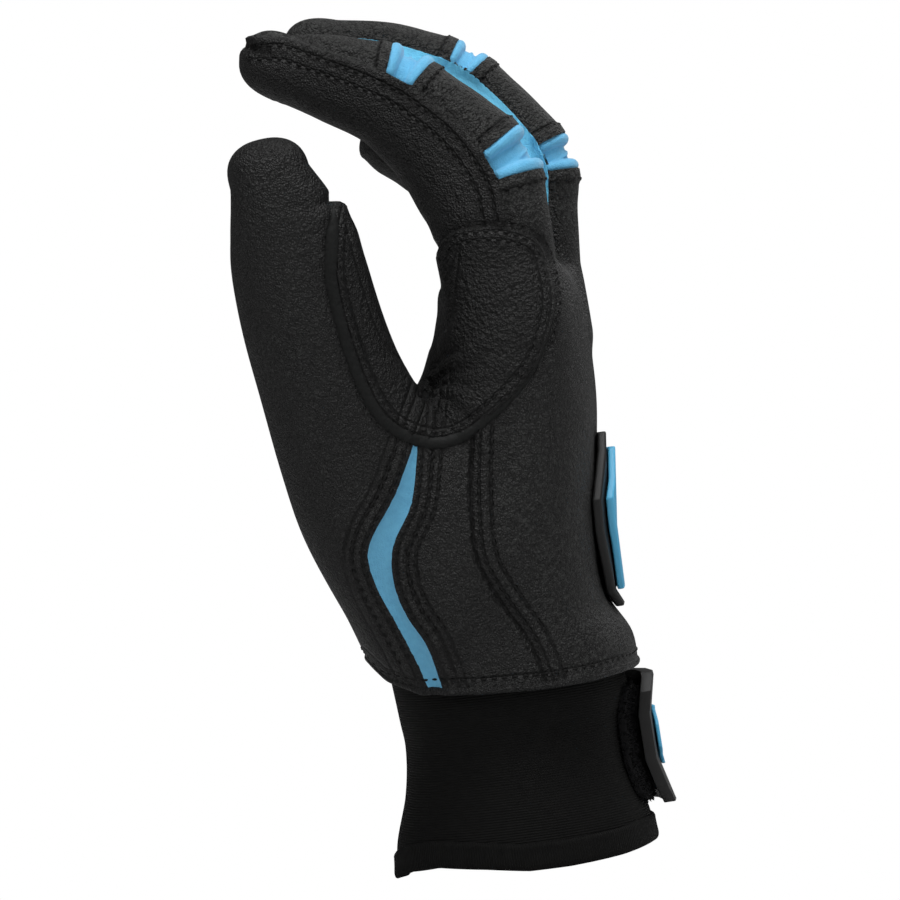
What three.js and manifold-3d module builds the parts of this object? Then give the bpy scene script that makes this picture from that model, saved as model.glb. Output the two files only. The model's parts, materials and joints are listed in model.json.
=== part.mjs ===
// A right-hand batting glove, standing on its cuff with the fingers curled as round a bat handle.
// Millimetres. +Z runs from the cuff to the fingertips, +X is the back of the hand, -X the palm,
// and -Y the thumb and index side. The origin is on the floor, under the middle of the cuff's hem.
import * as THREE from "three";
import Module from "manifold-3d";

const wasm = await Module();
wasm.setup();

// Main sizes
const KNUCKLE_HEIGHT = 138.0; // the index knuckle above the floor
const HAND_WIDTH = 87.6; // across the palm
const HAND_DEPTH = 58.0; // palm to back, at the wrist
const CUFF_WIDTH = 69.2;
const CUFF_DEPTH = 57.0;
const FINGER_WIDTH = 20.8;
const FINGER_DEPTH = 28.8; // palm to back, at the knuckle
const INDEX_LENGTH = 69.7; // knuckle to tip, along the curl
const MIDDLE_LENGTH = 72.6;
const RING_LENGTH = 69.5;
const LITTLE_LENGTH = 51.0;
const THUMB_LENGTH = 119.3; // from inside the wrist to the tip

// Materials and clearances
const LEATHER = 1.6; // thickness of the leather walls
const KNIT = 2.2; // thickness of the knitted cuff
const SEAM_GAP = 0.4; // clearance between two sewn neighbours
const FINGER_GAP = 1.4; // clearance between two neighbouring fingers
const BIG = 150; // reach of a cutting prism past the glove
const LOFT_EXTRA = 3; // a skin runs this far past the place where it is cut

// Cuff and its hook-and-loop strap
const CUFF_TOP = 52.0; // the knit ends this high, tucked inside the leather
const HEM_HEIGHT = 7.5;
const HEM_THICK = 3.4;
const HEM_PROUD = 0.7; // the hem stands this far outside the knit
const LEATHER_EDGE = 37.4; // lowest point of the leather's edge over the cuff
const WELT_HEIGHT = 3.0; // turned edge of leather round the wrist
const WELT_STEP = 1.0; // how far the turned edge stands proud
const STRAP_LOW = 7.8;
const STRAP_HIGH = LEATHER_EDGE - SEAM_GAP;
const STRAP_THICK = 2.6;
const STRAP_ROOT_Y = 27.0; // sewn end, on the little-finger side
const STRAP_FREE_Y = -9.0; // free end, on the thumb side
const LOOP_THICK = 1.6;
const LOOP_FREE_Y = -14.5; // the loop pile shows past the strap's free end
const HOOK_THICK = 1.0;
const HOOK_INSET = 3.0;
const INLAY_THICK = 0.8;
const INLAY_INSET = 8.0;
const ANCHOR_LENGTH = 7.0; // the strap's sewn root, fixed to the cuff
const STRAP_CORNER = 4.0; // cut corners of the free end
const LOOP_CORNER = 2.0;

// Back-of-hand guard, a moulded plate with a coloured inlay
const GUARD_LOW = 52.6;
const GUARD_HIGH = 91.0;
const GUARD_WIDTH = 48.0;
const GUARD_THICK = 2.0;
const GUARD_BORDER = 3.6;
const GUARD_INLAY = 1.6;
const GUARD_TAPER = 0.55; // share of the width left at the plate's ends
const GUARD_SHOULDER = 0.62; // height of the plate's widest place, as a share of its length

// Crotch patch between thumb and index finger
const PATCH_THICK = 1.0;
const PATCH_REACH_Y = -18.0; // how far the patch wraps into the grip
const STRIP_THICK = 0.7; // stretch strips let into the fingers' sides
const FLEX_ROLL = 2.6; // height of one gathered roll of a flex insert above the leather
const FLEX_SPAN = 78; // degrees that an insert reaches round the finger, either way from its back
const ROLL_STEPS = 5; // stations along half of an insert
const ROLL_PROFILE = [-1, -0.82, -0.5, -0.18, 0, 0.18, 0.5, 0.82, 1]; // across the insert's two rolls
const STRIP_SHIFT = 1.1; // the corners of a strip's outline lie this far past the stations
const STRIP_PALMAR = -0.2; // a side strip's edges, as shares of the finger's half depth
const STRIP_DORSAL = 0.5;

// The fingers' joints: where each hinge lies, and the wedges that leave room for its swing
const HINGE_INSET = 2.5; // a flex hinge lies this deep under the palm-side leather
const KNUCKLE_WEDGE = { back: 8.6, front: 8.6 }; // degrees each way, on the back and palm side
const LOWER_FLEX = { back: 12.4, front: 19 };
const UPPER_FLEX = { back: 16.2, front: 17 };
const THUMB_BASE_WEDGE = { back: 9, front: 9 }; // back is the grip side here
const THUMB_TIP_WEDGE = { back: 12, front: 7 };

// The leather's lower edge seen along +Y: x, and height above its lowest point
const EDGE_LINE = [
  [-BIG, 12.8], [-27.6, 12.6], [-23.7, 7.7], [-16.7, 4.2], [-5, 2.6], [9, 1.6], [19.6, 1.5], [29.7, 2.2], [BIG, 2.4],
];

// Cross-sections up the cuff: height, palm-side and back-side x as shares of the cuff's depth, and half
// width as a share of its width
const CUFF_SECTIONS = [
  [-LOFT_EXTRA, -0.5088, 0.5123, 0.5],
  [HEM_HEIGHT, -0.4912, 0.5018, 0.4884],
  [CUFF_TOP * 0.3462, -0.4263, 0.4561, 0.4624],
  [CUFF_TOP * 0.5385, -0.3982, 0.4561, 0.4538],
  [CUFF_TOP * 0.6923, -0.407, 0.4877, 0.4711],
  [CUFF_TOP + LOFT_EXTRA, -0.4281, 0.4298, 0.5],
].map(([z, front, back, half]) => [z, front * CUFF_DEPTH, back * CUFF_DEPTH, half * CUFF_WIDTH]);

// Cross-sections up the palm: height as a share of the way from the leather's edge to the index
// knuckle, palm-side and back-side x as shares of the hand's depth, half width as a share of its width
const PALM_SECTIONS = [
  [-0.0298, -0.4466, 0.5276, 0.4064],
  [0.0855, -0.4586, 0.5345, 0.4201],
  [0.1849, -0.4621, 0.4586, 0.4338],
  [0.3241, -0.4224, 0.4655, 0.4635],
  [0.4632, -0.3103, 0.4966, 0.4863],
  [0.6024, -0.1776, 0.531, 0.4977],
  [0.7416, -0.0621, 0.5414, 0.5],
  [0.831, -0.0138, 0.5379, 0.4909],
  [0.8907, 0.0379, 0.5103, 0.468],
  [0.9304, 0.1379, 0.431, 0.4224],
].map(([up, front, back, half]) => [
  LEATHER_EDGE + up * (KNUCKLE_HEIGHT - LEATHER_EDGE), front * HAND_DEPTH, back * HAND_DEPTH, half * HAND_WIDTH,
]);

// Each finger is a chain of links: share of its length, heading in degrees from +Z towards the palm, and
// the depth at the link's far end as a share of FINGER_DEPTH. Its base gives the knuckle's x as a share of
// the hand's depth, and its depth there. rise is the knuckle's height above the index finger's.
const FINGER_ROOT = 24; // length of the first link, which is buried in the palm
const FINGERS = [
  {
    name: "index", strips: [1], length: INDEX_LENGTH, width: 1, rise: 0, base: [0.2345, 0.8958],
    links: [[0.1621, 11, 0.9236], [0.1593, 29, 0.8333], [0.1937, 44, 0.7431], [0.1879, 62, 0.6528], [0.165, 68, 0.4931], [0.132, 41, 0.0]],
  },
  {
    name: "middle", strips: [-1, 1], length: MIDDLE_LENGTH, width: 1, rise: 0.8, base: [0.3483, 0.8889],
    links: [[0.1625, -2, 0.9167], [0.1501, 23, 0.8333], [0.1694, 39, 0.75], [0.1708, 56, 0.6528], [0.1956, 70, 0.5417], [0.1515, 67, 0.0]],
  },
  {
    name: "ring", strips: [-1, 1], length: RING_LENGTH, width: 0.9808, rise: -1, base: [0.2655, 0.9444],
    links: [[0.2014, 6, 0.9167], [0.236, 36, 0.7917], [0.1784, 46, 0.6944], [0.1827, 63, 0.5972], [0.1252, 70, 0.5], [0.0763, 57, 0.0]],
  },
  {
    name: "little", strips: [-1], length: LITTLE_LENGTH, width: 0.8654, rise: -7, base: [0.2897, 0.8472],
    links: [[0.2549, 6, 0.8333], [0.2471, 31, 0.75], [0.1882, 47, 0.6528], [0.1451, 58, 0.5694], [0.0902, 58, 0.4722], [0.0745, 58, 0.0]],
  },
].map((finger) => ({
  name: finger.name,
  strips: finger.strips,
  halfWidth: (finger.width * FINGER_WIDTH) / 2,
  baseX: finger.base[0] * HAND_DEPTH,
  baseZ: KNUCKLE_HEIGHT + finger.rise,
  baseDepth: (finger.base[1] * FINGER_DEPTH) / 2,
  links: finger.links.map(([share, heading, depth]) => [share * finger.length, heading, (depth * FINGER_DEPTH) / 2]),
}));
const FINGER_TAPER = 0.84; // width left near the fingertip
const FINGER_SQUARENESS = 2.5; // exponent of the section's superellipse

// The thumb: share of its length, heading, half depth and half width at its far end, and sideways drift
const THUMB_START = { x: -5.2, y: -19.0, z: 47.0, depth: 12.0, width: 10.0 };
const THUMB_LINKS = [
  [0.0813, 21.0, 17.8, 14.5, -3.0],
  [0.1266, 21.8, 18.8, 16.5, -2.5],
  [0.1232, 18.0, 18.9, 16.5, -3.5],
  [0.1199, 16.0, 17.0, 15.5, -4.5],
  [0.1199, 13.0, 15.2, 14.5, -4.5],
  [0.114, 7.6, 14.6, 13.6, -4.5],
  [0.109, 3.6, 13.8, 12.6, -4.0],
  [0.0721, 7.4, 11.6, 11.4, -2.5],
  [0.0704, 10.0, 8.7, 9.8, -2.0],
  [0.0637, 0, 0, 0, -1.0],
].map(([share, ...rest]) => [share * THUMB_LENGTH, ...rest]);
const THUMB_BASE_LINK = 5; // the thumb's own hinges lie at the ends of these links
const THUMB_TIP_LINK = 7;

// Seams on the thumb side, as x and z seen along +Y
const STRIPE_FRONT = [[-10.6, 94.5], [-16.5, 84], [-23.8, 74], [-23.8, 66], [-20.5, 56], [-17.3, 46.5]];
const STRIPE_BACK = [[-9.6, 94.5], [-13.0, 82], [-18.6, 73], [-19.6, 65], [-18.0, 57.5], [-14.6, 50], [-13.4, 43]];
const SIDE_SEAM = [[2.8, 95.5], [0.2, 80], [-0.4, 67], [3.8, 56], [8.4, 46.5], [10.8, 37]];
const PATCH_EDGE = [
  [-8.0, 96.0], [0.5, 94.5], [8.0, 97.5], [16.0, 103.5], [22.5, 112], [25.4, 121], [25.2, 131], [22.5, 138],
  [17.0, 139],
];
const PATCH_FRONT = [[-15.5, 103.0], [-10.5, 98.0]];
const FAR_SEAM = [[4, 30], [4, 118], [17, 133], [17, 139]]; // palm to back, on the little-finger side
const SEAM_REACH_Y = -25; // the stripe and side panel lie outside this, on the thumb side

// Finishes
const finish = (color, roughness) => new THREE.MeshStandardMaterial({ color, roughness, metalness: 0 });
const BLACK_LEATHER = finish(0x1c1c1b, 0.55);
const BLACK_KNIT = finish(0x0e0e0e, 0.9);
const BLACK_PILE = finish(0x080808, 1.0);
const BLACK_RUBBER = finish(0x1d1d1d, 0.6);
const BLUE_FABRIC = finish(0x56a9d8, 0.85);
const BLUE_RUBBER = finish(0x4ba3cf, 0.5);

// Solids from rings of points, and prisms from outlines

const radians = THREE.MathUtils.degToRad;

// A closed skin over rings that all have the same number of points, with a fan over each end.
function loft(rings) {
  const count = rings[0].length;
  const centre = (ring) => ring.reduce((sum, p) => sum.add(p), new THREE.Vector3()).divideScalar(count);
  const points = [...rings.flat(), centre(rings[0]), centre(rings.at(-1))];
  const faces = [];
  for (let r = 0; r < rings.length - 1; r++) {
    for (let i = 0; i < count; i++) {
      const a = r * count + i;
      const b = r * count + ((i + 1) % count);
      faces.push(a, b, b + count, a, b + count, a + count);
    }
  }
  const first = rings.length * count;
  const last = (rings.length - 1) * count;
  for (let i = 0; i < count; i++) {
    const next = (i + 1) % count;
    faces.push(first, next, i, first + 1, last + i, last + next);
  }
  return solid(new Float32Array(points.flatMap((p) => p.toArray())), new Uint32Array(faces));
}

function solid(vertProperties, triVerts) {
  const made = new wasm.Manifold(new wasm.Mesh({ numProp: 3, vertProperties, triVerts }));
  if (made.volume() > 0) return made;
  const flipped = triVerts.slice();
  for (let i = 0; i < flipped.length; i += 3) flipped.set([triVerts[i + 1], triVerts[i]], i);
  return new wasm.Manifold(new wasm.Mesh({ numProp: 3, vertProperties, triVerts: flipped }));
}

// A prism whose outline is given in the plane of two axes, between two places along the third.
function prism(outline, from, to, place) {
  const corners = outline.map(([a, b]) => new THREE.Vector2(a, b));
  if (THREE.ShapeUtils.isClockWise(corners)) corners.reverse();
  const count = corners.length;
  const faces = [];
  for (const [a, b, c] of THREE.ShapeUtils.triangulateShape(corners, [])) {
    const flipped = THREE.ShapeUtils.isClockWise([corners[a], corners[b], corners[c]]);
    const [p, q, r] = flipped ? [a, c, b] : [a, b, c];
    faces.push(p, r, q, p + count, q + count, r + count);
  }
  for (let i = 0; i < count; i++) {
    const next = (i + 1) % count;
    faces.push(i, next, next + count, i, next + count, i + count);
  }
  const points = [from, to].flatMap((depth) => corners.flatMap((c) => place(c.x, c.y, depth).toArray()));
  return solid(new Float32Array(points), new Uint32Array(faces));
}

const sidePrism = (outline, yFrom, yTo) => prism(outline, yFrom, yTo, (x, z, y) => new THREE.Vector3(x, y, z));
const planPrism = (outline, zFrom, zTo) => prism(outline, zFrom, zTo, (x, y, z) => new THREE.Vector3(x, y, z));
const backPrism = (outline, xFrom, xTo) => prism(outline, xFrom, xTo, (y, z, x) => new THREE.Vector3(x, y, z));
const rectangle = (a0, b0, a1, b1) => [[a0, b0], [a1, b0], [a1, b1], [a0, b1]];

// One ring of a superellipse about a centre, spanned by two half axes.
function ring(centre, across, deep, count, squareness) {
  const points = [];
  const power = 2 / squareness;
  for (let i = 0; i < count; i++) {
    const angle = (2 * Math.PI * i) / count;
    const c = Math.sign(Math.cos(angle)) * Math.abs(Math.cos(angle)) ** power;
    const s = Math.sign(Math.sin(angle)) * Math.abs(Math.sin(angle)) ** power;
    points.push(centre.clone().addScaledVector(deep, c).addScaledVector(across, s));
  }
  return points;
}

// A smooth loft up a list of level sections, grown outwards all round.
function levelLoft(sections, grow, count, squareness, perSpan) {
  const curve = (pick) => new THREE.CatmullRomCurve3(sections.map((s) => new THREE.Vector3(...pick(s))));
  const sides = curve((s) => [s[1], s[2], s[3]]);
  const heights = curve((s) => [0, 0, s[0]]);
  const spans = (sections.length - 1) * perSpan;
  const rings = [];
  for (let i = 0; i <= spans; i++) {
    const size = sides.getPoint(i / spans);
    const lift = i === spans ? grow : 0; // the top end moves out with the skin too
    const centre = new THREE.Vector3((size.x + size.y) / 2, 0, heights.getPoint(i / spans).z + lift);
    const deep = new THREE.Vector3((size.y - size.x) / 2 + grow, 0, 0);
    rings.push(ring(centre, new THREE.Vector3(0, size.z + grow, 0), deep, count, squareness));
  }
  return loft(rings);
}

const cuffLoft = (grow) => levelLoft(CUFF_SECTIONS, grow, 24, 2.2, 1);
const palmLoft = (grow) => levelLoft(PALM_SECTIONS, grow, 24, 2.7, 1);

// Fingers and thumb: a chain of stations, each with a centre, heading and half sizes

const along = (heading) => new THREE.Vector3(-Math.sin(radians(heading)), 0, Math.cos(radians(heading)));
const backward = (heading) => new THREE.Vector3(Math.cos(radians(heading)), 0, Math.sin(radians(heading)));

// Places each finger beside its neighbour, from the index finger to the little finger.
let edgeY = -(FINGERS.reduce((sum, f) => sum + 2 * f.halfWidth, 0) + 3 * FINGER_GAP) / 2;
for (const finger of FINGERS) {
  finger.y = edgeY + finger.halfWidth;
  edgeY += 2 * finger.halfWidth + FINGER_GAP;
}

function fingerStations(finger) {
  const base = new THREE.Vector3(finger.baseX, finger.y, finger.baseZ);
  const root = base.clone().add(new THREE.Vector3(0, 0, -FINGER_ROOT));
  const stations = [
    { centre: root, depth: finger.baseDepth * 0.86, width: finger.halfWidth * 0.9 },
    { centre: base, depth: finger.baseDepth, width: finger.halfWidth },
  ];
  finger.links.forEach(([length, heading, depth], i) => {
    const taper = 1 - (1 - FINGER_TAPER) * (i / (finger.links.length - 2)) ** 1.5;
    const centre = stations.at(-1).centre.clone().addScaledVector(along(heading), length);
    stations.push({ centre, depth, width: depth ? finger.halfWidth * taper : 0 });
  });
  return stations;
}

function thumbStations() {
  const centre = new THREE.Vector3(THUMB_START.x, THUMB_START.y, THUMB_START.z);
  const stations = [{ centre, depth: THUMB_START.depth, width: THUMB_START.width }];
  for (const [length, heading, depth, width, drift] of THUMB_LINKS) {
    const next = stations.at(-1).centre.clone().addScaledVector(along(heading), length);
    next.y += drift;
    stations.push({ centre: next, depth, width });
  }
  return stations;
}

// The skin of a limb, grown outwards, with a round tip over its last link.
const DOME = [0.45, 0.75, 0.93];
function limb(stations, grow, count, perSpan) {
  const body = stations.slice(0, -1);
  const tip = stations.at(-1).centre;
  const path = new THREE.CatmullRomCurve3([...body.map((s) => s.centre), tip]);
  const sizes = new THREE.CatmullRomCurve3(body.map((s) => new THREE.Vector3(s.depth, s.width, 0)));
  const spans = (body.length - 1) * perSpan;
  const share = (body.length - 1) / body.length; // the part of the path below the dome
  const rings = [];
  const addRing = (onPath, size, scale) => {
    const centre = path.getPoint(onPath);
    const tangent = path.getTangent(onPath);
    const deep = new THREE.Vector3(tangent.z, 0, -tangent.x).normalize();
    const across = new THREE.Vector3(0, (size.y + grow) * scale, 0);
    rings.push(ring(centre, across, deep.multiplyScalar((size.x + grow) * scale), count, FINGER_SQUARENESS));
  };
  for (let i = 0; i <= spans; i++) addRing((i / spans) * share, sizes.getPoint(i / spans), 1);
  const end = sizes.getPoint(1);
  const reach = 1 + grow / tip.distanceTo(body.at(-1).centre);
  for (const t of DOME) addRing(share + (1 - share) * Math.min(t * reach, 1), end, Math.sqrt(1 - t * t));
  return loft(rings);
}

const fingerSkin = (finger, grow) => limb(fingerStations(finger), grow, 14, 1);
const thumbSkin = (grow) => limb(thumbStations(), grow, 14, 1);

// A hinge's two faces, as lines in x and z. The part before the hinge ends at "before", and the part
// after it starts at "after". "back" and "front" are degrees from square, on either side of the axis.
const BACK_REACH = 34;
const FRONT_REACH = 6;
function hingeFaces(axis, heading, wedge, backReach = BACK_REACH, frontReach = FRONT_REACH) {
  const t = along(heading);
  const n = backward(heading);
  const face = (side) => {
    const arm = (reach, degrees) =>
      axis.clone()
        .addScaledVector(t, side * (SEAM_GAP / 2 + Math.abs(reach) * Math.sin(radians(degrees))))
        .addScaledVector(n, reach * Math.cos(radians(degrees)));
    const apex = axis.clone().addScaledVector(t, (side * SEAM_GAP) / 2);
    return [arm(backReach, wedge.back), apex, arm(-frontReach, wedge.front)].map((p) => [p.x, p.z]);
  };
  return { axis, heading, wedge, before: face(-1), after: face(1) };
}

// A finger's three hinges: knuckle at mid depth, and two flex hinges near the palm-side leather.
function fingerHinges(finger) {
  const stations = fingerStations(finger);
  const links = finger.links;
  const near = (station, heading) =>
    station.centre.clone().addScaledVector(backward(heading), -(station.depth - HINGE_INSET));
  const lowerHeading = (links[0][1] + links[1][1]) / 2;
  const upperHeading = (links[2][1] + links[3][1]) / 2;
  return {
    knuckle: hingeFaces(stations[1].centre, links[0][1] / 2, KNUCKLE_WEDGE, BACK_REACH, finger.baseDepth + 2),
    lower: hingeFaces(near(stations[2], lowerHeading), lowerHeading, LOWER_FLEX),
    upper: hingeFaces(near(stations[4], upperHeading), upperHeading, UPPER_FLEX),
    tip: stations.at(-1).centre,
    tipHeading: links.at(-1)[1],
  };
}

const thumbLine = thumbStations();
const thumbHinge = (link, wedge) => {
  const heading = (THUMB_LINKS[link - 1][1] + THUMB_LINKS[link][1]) / 2;
  const reach = thumbLine[link].depth;
  return hingeFaces(thumbLine[link].centre, heading, wedge, reach + SEAM_GAP, reach + FRONT_REACH);
};
const thumbBase = thumbHinge(THUMB_BASE_LINK, THUMB_BASE_WEDGE);
const thumbTip = thumbHinge(THUMB_TIP_LINK, THUMB_TIP_WEDGE);

// The outline that lies past a hinge face, out to a limb's tip.
function beyond(face, tip, heading) {
  const far = tip.clone().addScaledVector(along(heading), BACK_REACH / 2);
  const back = far.clone().addScaledVector(backward(heading), BACK_REACH);
  const front = far.clone().addScaledVector(backward(heading), -BACK_REACH);
  return [...face, [front.x, front.z], [back.x, back.z]];
}

// Pieces of the glove, each as one named mesh

const glove = new THREE.Group();
glove.name = "batting_glove";

function add(name, made, material) {
  const mesh = made.getMesh();
  const geometry = new THREE.BufferGeometry();
  geometry.setAttribute("position", new THREE.BufferAttribute(mesh.vertProperties, 3));
  geometry.setIndex(new THREE.BufferAttribute(mesh.triVerts, 1));
  geometry.computeVertexNormals();
  const piece = new THREE.Mesh(geometry, material);
  piece.name = name;
  glove.add(piece);
}

// The hand's skin at one offset: palm, thumb and the fingers' roots as one solid.
function handSkin(grow) {
  let skin = palmLoft(grow).add(thumbSkin(grow));
  for (const finger of FINGERS) skin = skin.add(fingerSkin(finger, grow));
  return skin;
}

// Everything past the fingers' knuckles and the thumb's base hinge, as one cutter.
function movingSpace() {
  const half = (finger) => finger.halfWidth + FINGER_GAP / 2;
  let space = null;
  for (const finger of FINGERS) {
    const last = finger === FINGERS.at(-1);
    const first = finger === FINGERS[0];
    const { knuckle } = fingerHinges(finger);
    const outline = [...knuckle.before, [-BIG, knuckle.before.at(-1)[1]], [-BIG, BIG * 2], [BIG, BIG * 2]];
    outline.push([BIG, knuckle.before[0][1]]);
    const cut = sidePrism(outline, first ? -BIG : finger.y - half(finger), last ? BIG : finger.y + half(finger));
    space = space ? space.add(cut) : cut;
  }
  const crotch = thumbBase.before[0];
  const past = [...thumbBase.before, [-BIG, thumbBase.before.at(-1)[1]], [-BIG, BIG * 2], [crotch[0], BIG * 2]];
  return space.add(sidePrism(past, -BIG, BIG));
}

const moving = movingSpace();
const TOP = 2 * BIG;

// The space above the leather's lower edge, raised by an amount.
function aboveEdge(raise) {
  const line = EDGE_LINE.map(([x, z]) => [x, LEATHER_EDGE + z + raise]);
  return sidePrism([...line, [BIG, TOP], [-BIG, TOP]], -BIG, BIG);
}

// A thin cut along a seam line seen along +Y, so that the panels either side stay apart.
function seamCut(line, yFrom, yTo) {
  const offset = (side) => line.map(([x, z], i) => {
    const [ax, az] = line[Math.max(i - 1, 0)];
    const [bx, bz] = line[Math.min(i + 1, line.length - 1)];
    const run = Math.hypot(bx - ax, bz - az);
    return [x - (side * (bz - az) * SEAM_GAP) / (2 * run), z + (side * (bx - ax) * SEAM_GAP) / (2 * run)];
  });
  return sidePrism([...offset(1), ...offset(-1).toReversed()], yFrom, yTo);
}

// Leather panels of the hand, cut from one shell along the seams
const frontSeam = [...PATCH_EDGE.slice(0, 1), ...STRIPE_FRONT, [STRIPE_FRONT.at(-1)[0], 0]];
const stripeBackSeam = [...PATCH_EDGE.slice(0, 1), ...STRIPE_BACK, [STRIPE_BACK.at(-1)[0], 0]];
const sideSeam = [...SIDE_SEAM, [SIDE_SEAM.at(-1)[0], 0]];
const patchSeam = [...PATCH_EDGE, [PATCH_EDGE.at(-1)[0], TOP]];
const farSeam = [[FAR_SEAM[0][0], 0], ...FAR_SEAM, [FAR_SEAM.at(-1)[0], TOP]];

let shell = handSkin(0).subtract(handSkin(-LEATHER)).subtract(moving);
shell = shell.intersect(aboveEdge(WELT_HEIGHT + SEAM_GAP));
shell = shell.subtract(seamCut(frontSeam, -BIG, SEAM_REACH_Y)).subtract(seamCut(stripeBackSeam, -BIG, SEAM_REACH_Y));
shell = shell.subtract(seamCut(sideSeam, -BIG, 0)).subtract(seamCut(patchSeam, -BIG, 0));
shell = shell.subtract(seamCut(farSeam, -SEAM_GAP, BIG));

const stripeSpace = sidePrism([...frontSeam, ...stripeBackSeam.slice(1).toReversed()], -BIG, SEAM_REACH_Y);
const sideSpace = sidePrism(
  [...stripeBackSeam.toReversed(), PATCH_EDGE[1], ...sideSeam], -BIG, SEAM_REACH_Y,
);
const backSpace = sidePrism(
  [...sideSeam.toReversed(), ...PATCH_EDGE.slice(2), patchSeam.at(-1), [BIG, TOP], [BIG, 0]], -BIG, 0,
).add(sidePrism([...farSeam, [BIG, TOP], [BIG, 0]], 0, BIG));

add("back_panel", shell.intersect(backSpace), BLACK_LEATHER);
add("thumb_stripe", shell.intersect(stripeSpace), BLUE_FABRIC);
add("side_panel", shell.intersect(sideSpace), BLACK_LEATHER);
add("palm_panel", shell.subtract(backSpace).subtract(stripeSpace).subtract(sideSpace), BLACK_LEATHER);

const welt = palmLoft(WELT_STEP).subtract(palmLoft(-LEATHER));
add("wrist_welt", welt.intersect(aboveEdge(0)).subtract(aboveEdge(WELT_HEIGHT)), BLACK_LEATHER);

// Crotch patch, laid over the palm panel and wrapped into the grip
const skinBand = (skin, from, to) => skin(to).subtract(skin(from));
const patchOutline = [
  ...PATCH_FRONT, ...PATCH_EDGE, [-6, 139], [-7.5, 118], [-15.5, 113],
];
const patch = skinBand(handSkin, SEAM_GAP, SEAM_GAP + PATCH_THICK).subtract(moving);
add("crotch_patch", patch.intersect(sidePrism(patchOutline, -BIG, PATCH_REACH_Y)), BLACK_LEATHER);

// Knitted cuff, its hem, and the loop pile on its back
const slab = (zFrom, zTo) => planPrism(rectangle(-BIG, -BIG, BIG, BIG), zFrom, zTo);
const backWindow = (yFrom, yTo, zFrom, zTo, corner) => backPrism([
  [yFrom, zFrom + corner], [yFrom + corner, zFrom], [yTo, zFrom], [yTo, zTo], [yFrom + corner, zTo],
  [yFrom, zTo - corner],
], 0, BIG);
add("cuff", skinBand(cuffLoft, -KNIT, 0).intersect(slab(HEM_HEIGHT + SEAM_GAP, CUFF_TOP)), BLACK_KNIT);
add("cuff_hem", skinBand(cuffLoft, HEM_PROUD - HEM_THICK, HEM_PROUD).intersect(slab(0, HEM_HEIGHT)), BLACK_KNIT);
const loopTop = SEAM_GAP + LOOP_THICK;
const loopWindow = backWindow(LOOP_FREE_Y, STRAP_ROOT_Y - ANCHOR_LENGTH, STRAP_LOW + 2, STRAP_HIGH - 2, LOOP_CORNER);
add("loop_patch", skinBand(cuffLoft, SEAM_GAP, loopTop).intersect(loopWindow), BLACK_PILE);

// The strap in layers over the loop pile, and its sewn root beyond the fold
const hookTop = loopTop + SEAM_GAP + HOOK_THICK;
const strapTop = hookTop + SEAM_GAP + STRAP_THICK;
const inlayTop = strapTop + SEAM_GAP + INLAY_THICK;
const layer = (inset, from, to) => skinBand(cuffLoft, from, to).intersect(
  backWindow(STRAP_FREE_Y + inset, STRAP_ROOT_Y - inset, STRAP_LOW + inset, STRAP_HIGH - inset, STRAP_CORNER),
);
add("strap", layer(0, hookTop + SEAM_GAP, strapTop), BLACK_RUBBER);
add("strap_hook_pad", layer(HOOK_INSET, loopTop + SEAM_GAP, hookTop), BLACK_PILE);
add("strap_inlay", layer(INLAY_INSET, strapTop + SEAM_GAP, inlayTop), BLUE_RUBBER);
const anchorWindow = backWindow(
  STRAP_ROOT_Y + SEAM_GAP, STRAP_ROOT_Y + ANCHOR_LENGTH, STRAP_LOW, STRAP_HIGH, SEAM_GAP,
);
add("strap_anchor", skinBand(cuffLoft, SEAM_GAP, hookTop - SEAM_GAP).intersect(anchorWindow), BLACK_RUBBER);

// Moulded guard on the back of the hand
function guardWindow(inset) {
  const high = GUARD_HIGH - inset;
  const low = GUARD_LOW + inset;
  const wide = GUARD_WIDTH / 2 - inset;
  const shoulder = GUARD_LOW + (GUARD_HIGH - GUARD_LOW) * GUARD_SHOULDER;
  const narrow = wide * GUARD_TAPER;
  return backPrism([
    [-narrow, low], [narrow, low], [wide, shoulder], [narrow, high], [-narrow, high], [-wide, shoulder],
  ], 0, BIG);
}
const guardTop = SEAM_GAP + GUARD_THICK;
add("back_guard", skinBand(palmLoft, SEAM_GAP, guardTop).intersect(guardWindow(0)), BLACK_RUBBER);
const inlayBand = skinBand(palmLoft, guardTop + SEAM_GAP, guardTop + SEAM_GAP + GUARD_INLAY);
add("back_guard_inlay", inlayBand.intersect(guardWindow(GUARD_BORDER)), BLUE_RUBBER);

// Thumb
const thumbTube = skinBand(thumbSkin, -LEATHER, 0);
const between = (low, high) => sidePrism([...low.after, ...high.before.toReversed()], -BIG, BIG);
add("thumb_proximal", thumbTube.intersect(between(thumbBase, thumbTip)), BLACK_LEATHER);
const thumbEnd = beyond(thumbTip.after, thumbLine.at(-1).centre, THUMB_LINKS.at(-1)[1]);
add("thumb_distal", thumbTube.intersect(sidePrism(thumbEnd, -BIG, BIG)), BLACK_LEATHER);

// Fingers: three leather stalls each, stretch strips let into their sides, and two flex inserts

// The line along a finger at a share of its half depth, from its knuckle to near its tip. Its corners lie a
// little past the finger's own stations, so that they meet no corner of the skin.
function fingerLine(finger, share) {
  const stations = fingerStations(finger).slice(1, -1);
  const headings = finger.links.map((link) => link[1]);
  return stations.map(({ centre, depth }, i) => {
    const heading = (headings[Math.max(i - 1, 0)] + headings[i]) / 2;
    const p = centre.clone().addScaledVector(backward(heading), share * depth);
    p.addScaledVector(along(heading), STRIP_SHIFT);
    return [p.x, p.z];
  });
}

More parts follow.
